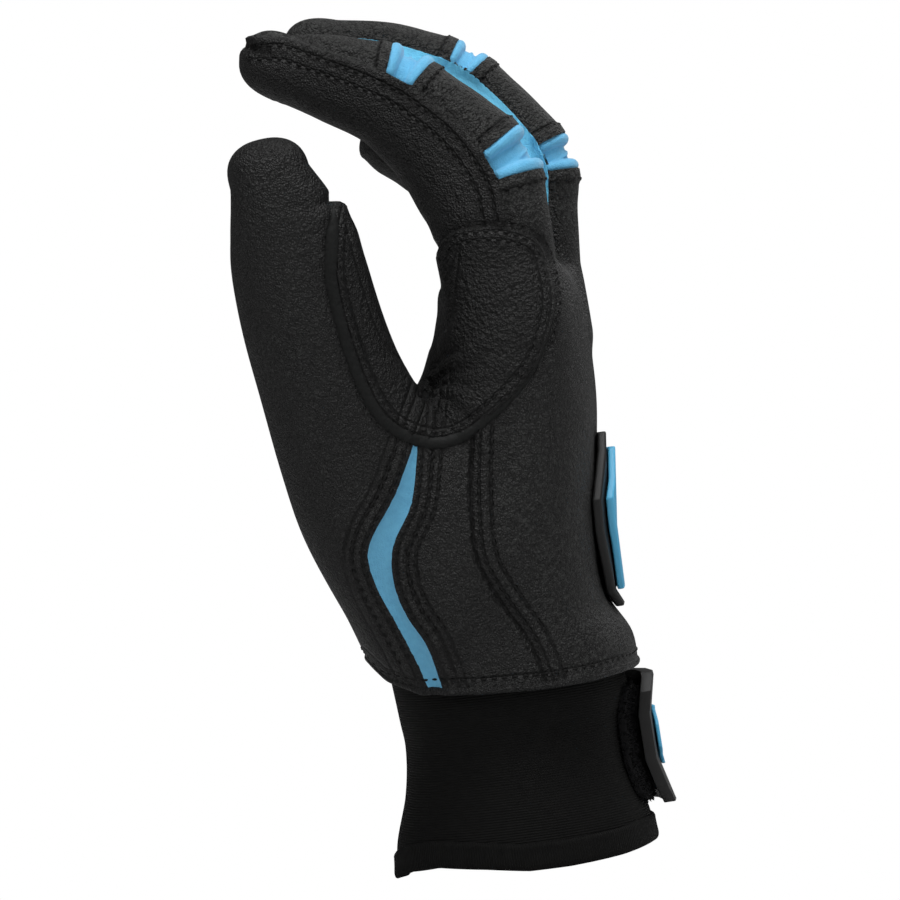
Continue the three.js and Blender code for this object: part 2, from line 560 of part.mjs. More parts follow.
function stripSpace(finger, side, spare) {
  const spareShare = spare / finger.baseDepth;
  const outline = [
    ...fingerLine(finger, STRIP_PALMAR - spareShare), ...fingerLine(finger, STRIP_DORSAL + spareShare).toReversed(),
  ];
  const near = finger.y + side * finger.halfWidth * 0.4;
  return sidePrism(outline, Math.min(near, near + side * BIG), Math.max(near, near + side * BIG));
}

// A flex insert: gathered fabric in two rolls, laid round the back of a hinge inside its wedge.
function flexInsert(hinge, station) {
  const n = backward(hinge.heading);
  const t = along(hinge.heading);
  const slope = Math.tan(radians(hinge.wedge.back));
  const rings = [];
  for (let i = -ROLL_STEPS; i <= ROLL_STEPS; i++) {
    const angle = radians((i / ROLL_STEPS) * FLEX_SPAN);
    const power = 2 / FINGER_SQUARENESS;
    const deep = Math.cos(angle) ** power * station.depth;
    const wide = Math.sign(angle) * Math.abs(Math.sin(angle)) ** power * station.width;
    const skin = station.centre.clone().addScaledVector(n, deep);
    skin.y += wide;
    const out = new THREE.Vector3(0, Math.sin(angle), 0).addScaledVector(n, Math.cos(angle));
    const place = (u, height) => {
      const p = skin.clone().addScaledVector(out, height);
      const half = p.clone().sub(hinge.axis).dot(n) * slope - SEAM_GAP / 2;
      return p.addScaledVector(t, u * half);
    };
    const swell = (u) => FLEX_ROLL * Math.cos(angle) * Math.sqrt(Math.max(0, 1 - (2 * Math.abs(u) - 1) ** 2));
    const outer = ROLL_PROFILE.map((u) => place(u, SEAM_GAP / 2 + swell(u)));
    rings.push([...outer, place(1, -LEATHER), place(-1, -LEATHER)]);
  }
  return loft(rings);
}

for (const finger of FINGERS) {
  const { name } = finger;
  const hinges = fingerHinges(finger);
  const stations = fingerStations(finger);
  const skin = (grow) => fingerSkin(finger, grow);
  const tube = skinBand(skin, -LEATHER, 0);
  const segments = {
    proximal: between(hinges.knuckle, hinges.lower),
    middle: between(hinges.lower, hinges.upper),
    distal: sidePrism(beyond(hinges.upper.after, hinges.tip, hinges.tipHeading), -BIG, BIG),
  };
  const stripBand = skinBand(skin, -STRIP_THICK, 0);
  const groove = skinBand(skin, -STRIP_THICK - SEAM_GAP / 2, SEAM_GAP);
  for (const [part, space] of Object.entries(segments)) {
    let stall = tube.intersect(space);
    for (const side of finger.strips) {
      const label = side < 0 ? "near" : "far";
      stall = stall.subtract(groove.intersect(stripSpace(finger, side, SEAM_GAP)));
      add(`${name}_${part}_${label}_strip`, stripBand.intersect(stripSpace(finger, side, 0)).intersect(space), BLUE_FABRIC);
    }
    add(`${name}_${part}`, stall, BLACK_LEATHER);
  }
  add(`${name}_lower_flex`, flexInsert(hinges.lower, stations[2]), BLUE_FABRIC);
  add(`${name}_upper_flex`, flexInsert(hinges.upper, stations[4]), BLUE_FABRIC);
}

export default glove;
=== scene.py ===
# %% [markdown]
# # A batting glove, dressed
#
# The solid model gives every stall, panel and strap its place. This lesson grows the soft surface
# over it: one smooth skin for the hand, cut along its real seams, then the gathered stretch
# inserts, the knitted cuff, the strap and the stitches. Work is done in millimetres and turned
# into metres when a mesh is made.

# %% Load the frame
import json
import math

import bmesh
import bpy
import numpy as np
from mathutils import Matrix, Vector
from mathutils.bvhtree import BVHTree


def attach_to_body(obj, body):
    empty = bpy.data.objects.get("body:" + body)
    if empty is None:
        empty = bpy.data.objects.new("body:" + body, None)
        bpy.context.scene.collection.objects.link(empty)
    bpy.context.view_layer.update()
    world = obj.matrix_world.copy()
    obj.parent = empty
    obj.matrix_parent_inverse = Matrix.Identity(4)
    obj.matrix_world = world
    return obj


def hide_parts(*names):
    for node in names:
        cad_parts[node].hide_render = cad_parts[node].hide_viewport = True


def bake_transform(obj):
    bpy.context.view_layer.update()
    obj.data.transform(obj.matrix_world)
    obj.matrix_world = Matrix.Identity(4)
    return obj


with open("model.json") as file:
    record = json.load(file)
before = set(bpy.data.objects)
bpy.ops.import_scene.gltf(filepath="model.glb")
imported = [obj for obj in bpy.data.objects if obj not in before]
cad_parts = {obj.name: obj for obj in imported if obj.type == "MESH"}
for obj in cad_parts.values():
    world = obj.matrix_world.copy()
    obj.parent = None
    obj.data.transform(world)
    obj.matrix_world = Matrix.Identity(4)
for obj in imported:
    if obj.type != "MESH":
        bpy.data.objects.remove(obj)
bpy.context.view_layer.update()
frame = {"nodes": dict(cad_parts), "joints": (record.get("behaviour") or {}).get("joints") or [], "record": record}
MM = 0.001

# %% Small helpers


def unit(vectors):
    """The same vectors, each one long."""
    return vectors / np.linalg.norm(vectors, axis=-1, keepdims=True)


def signed_power(value, power):
    """A power that keeps the value's sign."""
    return np.sign(value) * np.abs(value) ** power


def lengths(path):
    """The length of a path up to each of its points."""
    return np.concatenate([[0], np.cumsum(np.linalg.norm(np.diff(path, axis=0), axis=1))])


def add_object(name, data):
    """A new object in the scene."""
    obj = bpy.data.objects.new(name, data)
    bpy.context.scene.collection.objects.link(obj)
    return obj


def level(vectors):
    """The level direction in which each vector points."""
    return unit(vectors * np.array([1, 1, 0]))

# %% [markdown]
# ## Camera, floor and light
#
# The photograph looks square at the thumb side from about a metre, with the glove leaning a little.
# The glove stands upright here, so the camera rolls instead. A pale floor and wide soft lamps give
# the plain studio look.

# %% Camera
PIXELS = 900
PX_PER_MM = 4.5  # scale of the photograph at the middle of the glove
HEM_PX = (527, 858)  # the middle of the hem in the photograph
LEAN = math.radians(9)  # the glove's lean in the photograph
DISTANCE = 950.0
SENSOR = 36.0
CLIP_END = 20.0


def photo_to_glove(u, v):
    """A pixel of the photograph as x and z on the glove's middle plane, in mm."""
    px = (u - HEM_PX[0]) / PX_PER_MM
    pz = (HEM_PX[1] - v) / PX_PER_MM
    return px * math.cos(LEAN) + pz * math.sin(LEAN), -px * math.sin(LEAN) + pz * math.cos(LEAN)


aim_x, aim_z = photo_to_glove(PIXELS / 2, PIXELS / 2)
camera_data = bpy.data.cameras.new("camera")
camera_data.sensor_width = SENSOR
camera_data.lens = SENSOR * DISTANCE / (PIXELS / PX_PER_MM)
camera_data.clip_end = CLIP_END
camera = add_object("camera", camera_data)
right = Vector((math.cos(LEAN), 0, -math.sin(LEAN)))
up = Vector((math.sin(LEAN), 0, math.cos(LEAN)))
turn = Matrix((right, up, Vector((0, -1, 0)))).transposed().to_4x4()
camera.matrix_world = Matrix.Translation(Vector((aim_x, -DISTANCE, aim_z)) * MM) @ turn
bpy.context.scene.camera = camera
print("camera aims at", round(aim_x, 1), round(aim_z, 1), "mm")

# %% [markdown]
# ## The sizes that the skin follows
#
# Fingers and thumb are chains of stations, each with a centre, a half depth (palm to back) and a
# half width (side to side). The palm and the cuff are stacks of level sections. They follow the
# solids, apart from a millimetre or two at the web, the index and the little finger's tip.

# %% Sizes in mm
FINGER_GAP = 1.4
FINGER_ROOT = 24.0  # a finger starts this far below its knuckle
ROOT_SHARES = (0.86, 0.9)  # its depth and width there
FINGER_TAPER = 0.84  # share of the width that is left at the tip
SQUARE_FINGER = 2.5  # powers of the superellipses: 2 is an ellipse
SQUARE_PALM = 2.7
SQUARE_CUFF = 2.2
HINGE_INSET = 2.5  # a flex hinge lies this far inside the palm side
ROOT_CAP = 6.0  # a limb ends this far under its first station, inside the palm
LEATHER_EDGE = 37.4  # the leather's lower edge, before its wave
# name: half width, base x, base z, base half depth, links of length, heading, half depth
FINGERS = {
    "index": (10.4, 13.6, 138.0, 12.9, [
        (11.3, 11, 13.6), (11.1, 29, 12.4), (13.5, 44, 10.7), (13.1, 62, 9.4), (11.5, 68, 7.1), (9.2, 41, 0),
    ]),
    "middle": (10.4, 20.2, 138.8, 12.8, [
        (11.8, -2, 13.2), (10.9, 23, 12.0), (12.3, 39, 10.8), (12.4, 56, 9.4), (14.2, 70, 7.8), (11.0, 67, 0),
    ]),
    "ring": (10.2, 15.4, 137.0, 13.6, [
        (14.0, 6, 13.2), (16.4, 36, 11.4), (12.4, 46, 10.0), (12.7, 63, 8.6), (8.7, 70, 7.2), (5.3, 57, 0),
    ]),
    "little": (9.0, 16.8, 131.0, 12.2, [
        (13, 6, 12.0), (12.6, 31, 10.8), (9.6, 47, 9.4), (7.4, 58, 8.2), (4, 58, 6.8), (2.6, 58, 0),
    ]),
}
# x, y, z, half depth, half width; then links of length, heading, half depth, half width, drift in y
THUMB_START = (-5.2, -19.0, 47.0, 12.0, 10.0)
THUMB_LINKS = [
    (9.7, 21, 17.8, 14.5, -3), (15.1, 21.8, 18.8, 16.5, -2.5), (14.7, 18, 18.9, 16.5, -3.5),
    (14.3, 16, 17, 15.5, -4.5), (14.3, 13, 15.2, 14.5, -4.5), (13.6, 7.6, 14.6, 13.6, -4.5),
    (13, 3.6, 13.8, 12.6, -4), (8.6, 7.4, 11.6, 11.4, -2.5), (8.4, 10, 8.7, 9.8, -2),
    (7.6, 0, 0, 0, -1),
]
# height, palm's x, back's x, half width
PALM_SECTIONS = np.array([
    (34.4, -25.9, 30.6, 35.6), (46, -26.6, 31, 36.8), (56, -26.8, 26.6, 38), (70, -24.5, 27, 40.6),
    (84, -18, 28.8, 42.6), (98, -12.2, 30.8, 43.6), (112, -4.2, 31.4, 43.8), (121, -0.8, 31.2, 43),
    (127, 0.8, 29.6, 41), (131, 5.5, 25, 37),
])
CUFF_SECTIONS = np.array([
    (-3, -29, 29.2, 34.6), (7.5, -28, 28.6, 33.8), (18, -24.3, 26, 32), (28, -22.7, 26, 31.4),
    (36, -23.2, 27.8, 32.6), (55, -24.4, 24.5, 34.6),
])
print("fingers:", ", ".join(FINGERS))

# %% Stations of fingers and thumb


def along(heading):
    """The direction of a limb in x and z, its heading being degrees from +Z towards the palm."""
    return np.array([-math.sin(math.radians(heading)), math.cos(math.radians(heading))])


def along_3d(heading):
    """The same direction in x, y and z."""
    x, z = along(heading)
    return np.array([x, 0, z])


def outward(heading):
    """The direction of a limb's back in x and z."""
    return np.array([math.cos(math.radians(heading)), math.sin(math.radians(heading))])


def catmull(points, per):
    """A Catmull-Rom curve through the points, with per samples to a span."""
    p = np.vstack([2 * points[0] - points[1], points, 2 * points[-1] - points[-2]])
    t = np.linspace(0, 1, per, endpoint=False)[:, None]
    spans = [
        0.5 * (2 * b + (c - a) * t + (2 * a - 5 * b + 4 * c - d) * t**2 + (3 * b - a - 3 * c + d) * t**3)
        for a, b, c, d in zip(p, p[1:], p[2:], p[3:])
    ]
    return np.vstack(spans + [points[-1:]])


def make_limb(rows):
    """Samples of a limb's line from its stations (x, y, z, depth, width), the last one being its tip."""
    rows = np.array(rows, float)
    samples = catmull(rows[:-1], 12)
    tip = math.dist(rows[-1][:3], rows[-2][:3])
    step = np.hypot(*np.diff(samples[:, [0, 2]], axis=0).T)
    tangent = unit(np.gradient(samples[:, [0, 2]], axis=0))
    lead = rows[-1][[0, 2]] - rows[-2][[0, 2]]
    tangent[-1] = (tangent[-1] + lead / np.linalg.norm(lead)) / 2
    return {"rows": samples, "arc": np.concatenate([[0], np.cumsum(step)]), "tangent": tangent, "tip": tip}


edge = -(sum(2 * f[0] for f in FINGERS.values()) + 3 * FINGER_GAP) / 2
limbs, finger_y, finger_rows = {}, {}, {}
for name, (half, base_x, base_z, base_depth, links) in FINGERS.items():
    y = edge + half
    edge += 2 * half + FINGER_GAP
    root = (base_x, y, base_z - FINGER_ROOT, base_depth * ROOT_SHARES[0], half * ROOT_SHARES[1])
    rows = [root, (base_x, y, base_z, base_depth, half)]
    for i, (length, heading, depth) in enumerate(links):
        x, z = np.array([rows[-1][0], rows[-1][2]]) + along(heading) * length
        taper = 1 - (1 - FINGER_TAPER) * (i / (len(links) - 2)) ** 1.5
        rows.append((x, y, z, depth, half * taper if depth else 0))
    limbs[name], finger_y[name], finger_rows[name] = make_limb(rows), y, rows
rows = [THUMB_START]
for length, heading, depth, width, drift in THUMB_LINKS:
    x, z = np.array([rows[-1][0], rows[-1][2]]) + along(heading) * length
    rows.append((x, rows[-1][1] + drift, z, depth, width))
limbs["thumb"] = make_limb(rows)
print("limb lengths in mm:", {n: round(float(l["arc"][-1] + l["tip"])) for n, l in limbs.items()})

# %% [markdown]
# ## One skin for the hand
#
# A glove on a hand has no hard corners where the thumb leaves the palm. A distance field gives that
# for free: each limb and the palm has a formula for how far a point lies outside it, and a smooth
# minimum melts them together. Surface nets then turn the field into a mesh.

# %% Places on a limb
LIMB_CHUNK = 60000  # points worked out at one time, to spare memory


def limb_coordinates(name, points):
    """Where points lie on a limb: arc length, mm to the back, the side and past its ends, and its sizes."""
    limb = limbs[name]
    rows, arc, tangent = limb["rows"], limb["arc"], limb["tangent"]
    start, end = rows[:-1, [0, 2]], rows[1:, [0, 2]]
    run = end - start
    length2 = (run**2).sum(axis=1)
    best = np.zeros(len(points), int)
    share = np.zeros(len(points))
    for low in range(0, len(points), LIMB_CHUNK):
        some = slice(low, low + LIMB_CHUNK)
        q = points[some][:, [0, 2]]
        t = np.clip(((q @ run.T) - (start * run).sum(axis=1)) / length2, 0, 1)
        gap = (q[:, :1] - start[:, 0] - t * run[:, 0]) ** 2 + (q[:, 1:] - start[:, 1] - t * run[:, 1]) ** 2
        pick = gap.argmin(axis=1)
        best[some] = pick
        share[some] = t[np.arange(len(q)), pick]
    here = rows[best] + (rows[best + 1] - rows[best]) * share[:, None]
    t_dir = unit(tangent[best] + (tangent[best + 1] - tangent[best]) * share[:, None])
    offset = points - here[:, :3]
    back = offset[:, 0] * t_dir[:, 1] - offset[:, 2] * t_dir[:, 0]
    ahead = offset[:, 0] * t_dir[:, 0] + offset[:, 2] * t_dir[:, 1]
    at_tip = (best == len(run) - 1) & (share >= 1)
    at_root = (best == 0) & (share <= 0)
    past = np.where(at_tip, np.maximum(ahead, 0), np.where(at_root, np.minimum(ahead, 0), 0))
    return {
        "arc": arc[best] + (arc[best + 1] - arc[best]) * share + past, "back": back, "side": offset[:, 1],
        "past": past, "depth": here[:, 3], "width": here[:, 4],
        "cap": np.where(at_root, ROOT_CAP, limb["tip"]),
    }


print("the thumb's line has", len(limbs["thumb"]["rows"]), "samples")

# %% Distance fields


def rounded(parts, sizes, power):
    """Signed distance to a superellipsoid, along the ray from its middle."""
    ratio = sum((np.abs(p) / s) ** power for p, s in zip(parts, sizes)) ** (1 / power)
    reach = np.sqrt(sum(p**2 for p in parts))
    inside = np.min([np.broadcast_to(s, ratio.shape) for s in sizes], axis=0)
    return np.where(ratio > 1e-6, reach * (1 - 1 / np.maximum(ratio, 1e-6)), -inside)


def limb_surface(c):
    """Signed distance to a limb, from its coordinates."""
    return rounded((c["back"], c["side"], c["past"]), (c["depth"], c["width"], c["cap"]), SQUARE_FINGER)


def limb_field(name, points):
    """Signed distance to a limb."""
    return limb_surface(limb_coordinates(name, points))


def level_field(sections, power, points, cap):
    """Signed distance to a stack of level sections, closed by a rounded cap on top."""
    dense = catmull(sections, 16)
    z = np.clip(points[:, 2], dense[0, 0], dense[-1, 0])
    low, high, half = (np.interp(z, dense[:, 0], dense[:, k]) for k in (1, 2, 3))
    above = np.maximum(points[:, 2] - dense[-1, 0], 0)
    parts = (points[:, 0] - (low + high) / 2, points[:, 1], above)
    return rounded(parts, ((high - low) / 2, half, np.full(len(z), cap)), power)


def melt(a, b, reach):
    """A smooth minimum of two fields, blending where they lie within reach of each other."""
    h = np.clip(0.5 + 0.5 * (b - a) / reach, 0, 1)
    return b + (a - b) * h - reach * h * (1 - h)


THUMB_MELT = ((85, 9.0), (102, 8.0))  # by height: soft at the ball of the thumb, tight in its web
FINGER_MELT = 5.0
PALM_CAP = 5.0


def hand_field(points):
    """Signed distance to the whole hand, in mm."""
    palm = level_field(PALM_SECTIONS, SQUARE_PALM, points, PALM_CAP)
    reach = np.interp(points[:, 2], *zip(*THUMB_MELT))
    field = melt(palm, limb_field("thumb", points), reach)
    whole = field.copy()
    for name in FINGERS:
        whole = np.minimum(whole, melt(field, limb_field(name, points), FINGER_MELT))
    return whole


print("the field at the palm's middle:", round(float(hand_field(np.array([[5.0, 0, 80]]))[0]), 1), "mm")

# %% [markdown]
# ## Materials
#
# Leather, stretch fabric, knit, pile, rubber and thread. All are procedural: grain from noise in object
# coordinates, and seam grooves from the distances stored on the skin. A small class wraps a node's output,
# so that shader maths reads like plain arithmetic.

# %% Shader arithmetic


class Socket:
    """One output of a shader node. Operators add Math nodes."""

    def __init__(self, tree, output):
        self.tree, self.output = tree, output

    def node(self, kind, out=0, settings=None, **inputs):
        """Adds any node, with its inputs given by name (spaces as underscores)."""
        made = self.tree.nodes.new(kind)
        for key, value in (settings or {}).items():
            setattr(made, key, value)
        for key, value in inputs.items():
            socket = next(s for s in made.inputs if s.name.replace(" ", "_") == key and s.enabled)
            if isinstance(value, Socket):
                self.tree.links.new(value.output, socket)
            else:
                socket.default_value = value
        return Socket(self.tree, made.outputs[out])

    def math(self, operation, other=None, swap=False):
        """Adds a Math node on this value and another one, or the other way round."""
        made = self.tree.nodes.new("ShaderNodeMath")
        made.operation = operation
        order = (other, self) if swap else (self, other)
        for socket, value in zip(made.inputs, order):
            if isinstance(value, Socket):
                self.tree.links.new(value.output, socket)
            elif value is not None:
                socket.default_value = value
        return Socket(self.tree, made.outputs[0])

    def clamp(self):
        """The same value, kept between 0 and 1."""
        return self.math("MAXIMUM", 0.0).math("MINIMUM", 1.0)

    def groove(self, centre, width):
        """1 where this value equals the centre, falling to 0 a width away."""
        return (1 - ((self - centre).math("ABSOLUTE") / width)).math("MAXIMUM", 0.0).math("POWER", 1.4)


for word, operation in (("add", "ADD"), ("sub", "SUBTRACT"), ("mul", "MULTIPLY"), ("truediv", "DIVIDE")):
    setattr(Socket, f"__{word}__", lambda a, b, o=operation: a.math(o, b))
    setattr(Socket, f"__r{word}__", lambda a, b, o=operation: a.math(o, b, True))


# %% Helpers for materials


def new_material(name, colour, roughness, **principled):
    """A Principled material, its shader node, and a first Socket that gives object coordinates."""
    material = bpy.data.materials.new(name)
    material.use_nodes = True
    tree = material.node_tree
    shader = tree.nodes["Principled BSDF"]
    shader.inputs["Base Color"].default_value = (*colour, 1)
    shader.inputs["Roughness"].default_value = roughness
    for key, value in principled.items():
        shader.inputs[key.replace("_", " ")].default_value = value
    coordinates = tree.nodes.new("ShaderNodeTexCoord")
    return material, shader, Socket(tree, coordinates.outputs["Object"])


def mix_colour(factor, first, second):
    """A mix of two colours."""
    made = factor.tree.nodes.new("ShaderNodeMix")
    made.data_type = "RGBA"
    factor.tree.links.new(factor.output, made.inputs[0])
    for socket, value in ((made.inputs[6], first), (made.inputs[7], second)):
        if isinstance(value, Socket):
            factor.tree.links.new(value.output, socket)
        else:
            socket.default_value = (*value, 1)
    return Socket(factor.tree, made.outputs[2])


def feed(shader, name, value):
    """Links a value to one of a shader's inputs."""
    value.tree.links.new(value.output, shader.inputs[name])


def relief(place, height, strength, distance):
    """A bump normal from a height."""
    return place.node("ShaderNodeBump", Height=height, Strength=strength, Distance=distance)


def noise(place, scale, detail=2.0):
    """Soft noise of a scale, in cycles to a metre."""
    return place.node("ShaderNodeTexNoise", Vector=place, Scale=scale, Detail=detail)


def cells(place, scale):
    """Rounded cells, as of leather grain."""
    settings = {"feature": "SMOOTH_F1"}
    return place.node("ShaderNodeTexVoronoi", settings=settings, Vector=place, Scale=scale, Smoothness=0.35)


def attribute(place, name):
    """A number stored on the mesh's points."""
    return place.node("ShaderNodeAttribute", out=2, settings={"attribute_name": name})


# %% Leather
BLACK = (0.005, 0.005, 0.005)
CHARCOAL = (0.029, 0.03, 0.029)
leather, shader, place = new_material("leather", BLACK, 0.5, Specular_IOR_Level=0.28)
pebbles = cells(place, 1050.0)
fine = cells(place, 2300.0)
creases = noise(place, 520.0, 5.0)
broad = noise(place, 90.0, 3.0)
patchy, dorsal, crease = (attribute(place, n) for n in ("rough", "dorsal", "crease"))
stripe, side, patch_edge = (attribute(place, n) for n in ("stripe", "side", "patch"))
ridge, hem, lower_edge = (attribute(place, n) for n in ("ridge", "hem", "edge"))
grain = pebbles * (0.45 + 0.55 * patchy + 0.25 * dorsal) + fine * 0.6 + creases * 0.9


def sum_grooves(table):
    """The sum of a table's grooves."""
    first, *others = [distance.groove(centre, width) for distance, centre, width in table]
    return sum(others, first)


# grooves and lips sink and raise the leather's bump; in its colour the grooves are painted shade and the lips
# painted highlight.
# seam distance, and the groove's place and half width, in mm
grooves = sum_grooves((
    (stripe, 1.2, 0.5), (stripe, 3.6, 0.6), (stripe, 5.4, 0.6),
    (side, 0.0, 0.6), (side, 1.7, 0.5), (side, 4.4, 0.6),
    (patch_edge, -1.2, 0.5), (hem, 2.7, 0.6), (patch_edge, -3.0, 0.5), (ridge, -2.1, 0.5), (ridge, -5.0, 0.5),
    (lower_edge, 3.0, 0.6),
))
lips = sum_grooves(((stripe, 2.4, 1.0), (side, 3.05, 1.1), (lower_edge, 1.2, 1.4), (side, -1.0, 0.8)))
height = grain * 0.8 - grooves * 0.8 + lips * 0.35
feed(shader, "Normal", relief(place, height, 1.0, 0.0009))
mottle = (creases - 0.5) * 1.4 + (0.4 - pebbles) * 1.3 + (0.4 - fine) * 1.3 + (broad - 0.5) * 0.8
# The back panels are lighter: partly a greyer leather there, partly painted light, as if lit from above.
mottle = mottle + 0.62 * dorsal - 0.45 * patchy + 0.1
# Painted shade in the pleats' creases and in the seam grooves, and painted highlight on the raised lips between
# stitch rows.
mottle = mottle - crease * 0.7 - grooves * 0.8 + lips * 0.22
# Painted shade in the fold beside the index's ridge; a dark line where the leather meets the stripe.
mottle = mottle - ridge.groove(-1.0, 1.2) * 0.35 - stripe.groove(0.2, 0.9)
# Painted shade on the index's palm side below the ridge, which faces down.
mottle = mottle - 0.32 * (ridge * -0.5).clamp()  # under the ridge
feed(shader, "Base Color", mix_colour(mottle.clamp(), BLACK, CHARCOAL))
feed(shader, "Roughness", 0.38 + creases * 0.3 + dorsal * 0.06 + patchy * 0.1)
print("leather:", len(leather.node_tree.nodes), "nodes")

# %% Stretch fabric, knit, pile, rubber and thread
SKY = (0.105, 0.44, 0.72)


def stretch_fabric(name, light, dark):
    """Brushed stretch fabric in two shades of sky blue."""
    made, shader, place = new_material(name, SKY, 0.8, Sheen_Weight=0.25)
    weave = cells(place, 2600.0) + noise(place, 900.0, 3.0) * 0.6
    feed(shader, "Normal", relief(place, weave, 0.55, 0.0002))
    feed(shader, "Base Color", mix_colour(noise(place, 700.0, 3.0), light, dark))
    return made


fabric = stretch_fabric("fabric", (0.13, 0.42, 0.62), (0.08, 0.3, 0.5))
insert_fabric = stretch_fabric("insert_fabric", (0.13, 0.47, 0.73), (0.075, 0.34, 0.59))
# Painted light: the strips between the fingers get a brighter copy of the fabric, to make up for the shade there.
side_fabric = stretch_fabric("side_fabric", (0.2, 0.72, 1.0), (0.14, 0.55, 0.86))

INK = (0.0045, 0.0045, 0.005)
knit, shader, place = new_material("knit", INK, 0.8, Specular_IOR_Level=0.12)
ribs = attribute(place, "rib")
feed(shader, "Normal", relief(place, ribs.math("SINE") * 0.35 + noise(place, 900.0) * 0.6, 0.7, 0.0002))
shade = noise(place, 500.0, 3.0) * 0.7 + ribs.math("SINE") * 0.15 + 0.1
feed(shader, "Base Color", mix_colour(shade, (0.001, 0.001, 0.001), (0.006, 0.006, 0.0056)))

pile, shader, place = new_material("pile", (0.007, 0.007, 0.0075), 0.9, Specular_IOR_Level=0.1)
rubber, shader, place = new_material("rubber", (0.010, 0.010, 0.010), 0.5, Specular_IOR_Level=0.3)
feed(shader, "Normal", relief(place, noise(place, 700.0, 3.0), 0.3, 0.0002))
blue_rubber, shader, place = new_material("blue_rubber", (0.08, 0.42, 0.68), 0.5)
feed(shader, "Normal", relief(place, noise(place, 500.0, 3.0), 0.3, 0.0003))
binding, shader, place = new_material("binding", (0.0075, 0.008, 0.0078), 0.7, Specular_IOR_Level=0.2)
feed(shader, "Normal", relief(place, noise(place, 900.0, 3.0), 0.8, 0.0004))
thread, shader, place = new_material("thread", (0.003, 0.003, 0.003), 0.6, Specular_IOR_Level=0.2)
print("materials:", len(bpy.data.materials))

# %% Floor


def white_to_camera(tree, lit, kind, end):
    """Shows plain white to the camera, and the lit shader to everything else."""
    white = tree.nodes.new(kind)
    white.inputs["Color"].default_value = (1, 1, 1, 1)
    mixer = tree.nodes.new("ShaderNodeMixShader")
    tree.links.new(tree.nodes.new("ShaderNodeLightPath").outputs["Is Camera Ray"], mixer.inputs[0])
    tree.links.new(lit.outputs[0], mixer.inputs[1])
    tree.links.new(white.outputs[0], mixer.inputs[2])
    tree.links.new(mixer.outputs[0], tree.nodes[end].inputs["Surface"])


BACKDROP = (0.6, 0.6, 0.6)
floor_mesh = bpy.data.meshes.new("floor")
FLOOR = 3.0  # half its width, in metres
corners = [(x * FLOOR, y * FLOOR, 0) for x, y in ((-1, -1), (1, -1), (1, 1), (-1, 1))]
floor_mesh.from_pydata(corners, [], [(0, 1, 2, 3)])
floor = add_object("floor", floor_mesh)
floor_material, shader, place = new_material("floor", BACKDROP, 0.9)
white_to_camera(floor_material.node_tree, shader, "ShaderNodeEmission", "Material Output")
floor_mesh.materials.append(floor_material)


print("floor:", 2 * FLOOR, "m wide")

# %% Lamps and world


def lamp(name, spot, aim, size, power):
    """A square area lamp at a spot, pointing at an aim, both in mm."""
    data = bpy.data.lights.new(name, "AREA")
    data.size = size
    data.energy = power
    obj = add_object(name, data)
    away = Vector(spot) - Vector(aim)
    facing = away.to_track_quat("Z", "Y").to_matrix().to_4x4()
    obj.matrix_world = Matrix.Translation(Vector(spot) * MM) @ facing
    return obj


CENTRE = (0, 0, 95)
lamp("key_left", (-620, -560, 560), CENTRE, 0.5, 2.6)
lamp("fill_right", (620, -760, 420), CENTRE, 0.6, 2.4)
lamp("top", (160, -220, 820), CENTRE, 0.5, 5.5)
lamp("rim_back", (420, 500, 500), CENTRE, 0.5, 1.2)
world = bpy.data.worlds.new("studio")
world.use_nodes = True
tree = world.node_tree
background = tree.nodes["Background"]
background.inputs["Color"].default_value = (0.9, 0.9, 0.9, 1)
background.inputs["Strength"].default_value = 0.11
white_to_camera(tree, background, "ShaderNodeBackground", "World Output")
bpy.context.scene.world = world
bpy.context.scene.view_settings.view_transform = "Standard"

# %% Samples of the field
VOXEL = np.array([1.0, 0.7, 1.0])
COARSE = 5  # cells to a side of the first pass
FIELD_LOW = np.array([-48.0, -66.0, 34.0])
FIELD_HIGH = np.array([38.0, 48.0, 197.0])


def sample_field(low, high, step, field, margin=9.0):
    """The field on a grid. Points far from the skin are skipped after a coarse first pass."""
    counts = np.ceil((high - low) / step).astype(int) + 1
    axes = [low[k] + step[k] * np.arange(counts[k]) for k in range(3)]
    coarse = [a[::COARSE] + COARSE // 2 * step[k] for k, a in enumerate(axes)]
    rough = np.stack(np.meshgrid(*coarse, indexing="ij"), axis=-1).reshape(-1, 3)
    keep = np.abs(field(rough)).reshape([len(a) for a in coarse]) < margin
    for k in range(3):
        keep = keep.repeat(COARSE, axis=k).take(np.arange(counts[k]), axis=k)
    values = np.full(counts, np.nan, np.float32)
    index = np.argwhere(keep)
    values[keep] = field(low + index * step)
    return values, axes


print("grid:", *np.ceil((FIELD_HIGH - FIELD_LOW) / VOXEL).astype(int), "cells")

# %% Surface nets


def cells_beside(where, others, steps, shape):
    """The cells on one side of crossed edges, and which of them lie in the grid."""
    cell = where.copy()
    cell[:, others] -= np.array(steps)
    return cell, ((cell >= 0) & (cell < shape)).all(axis=1)


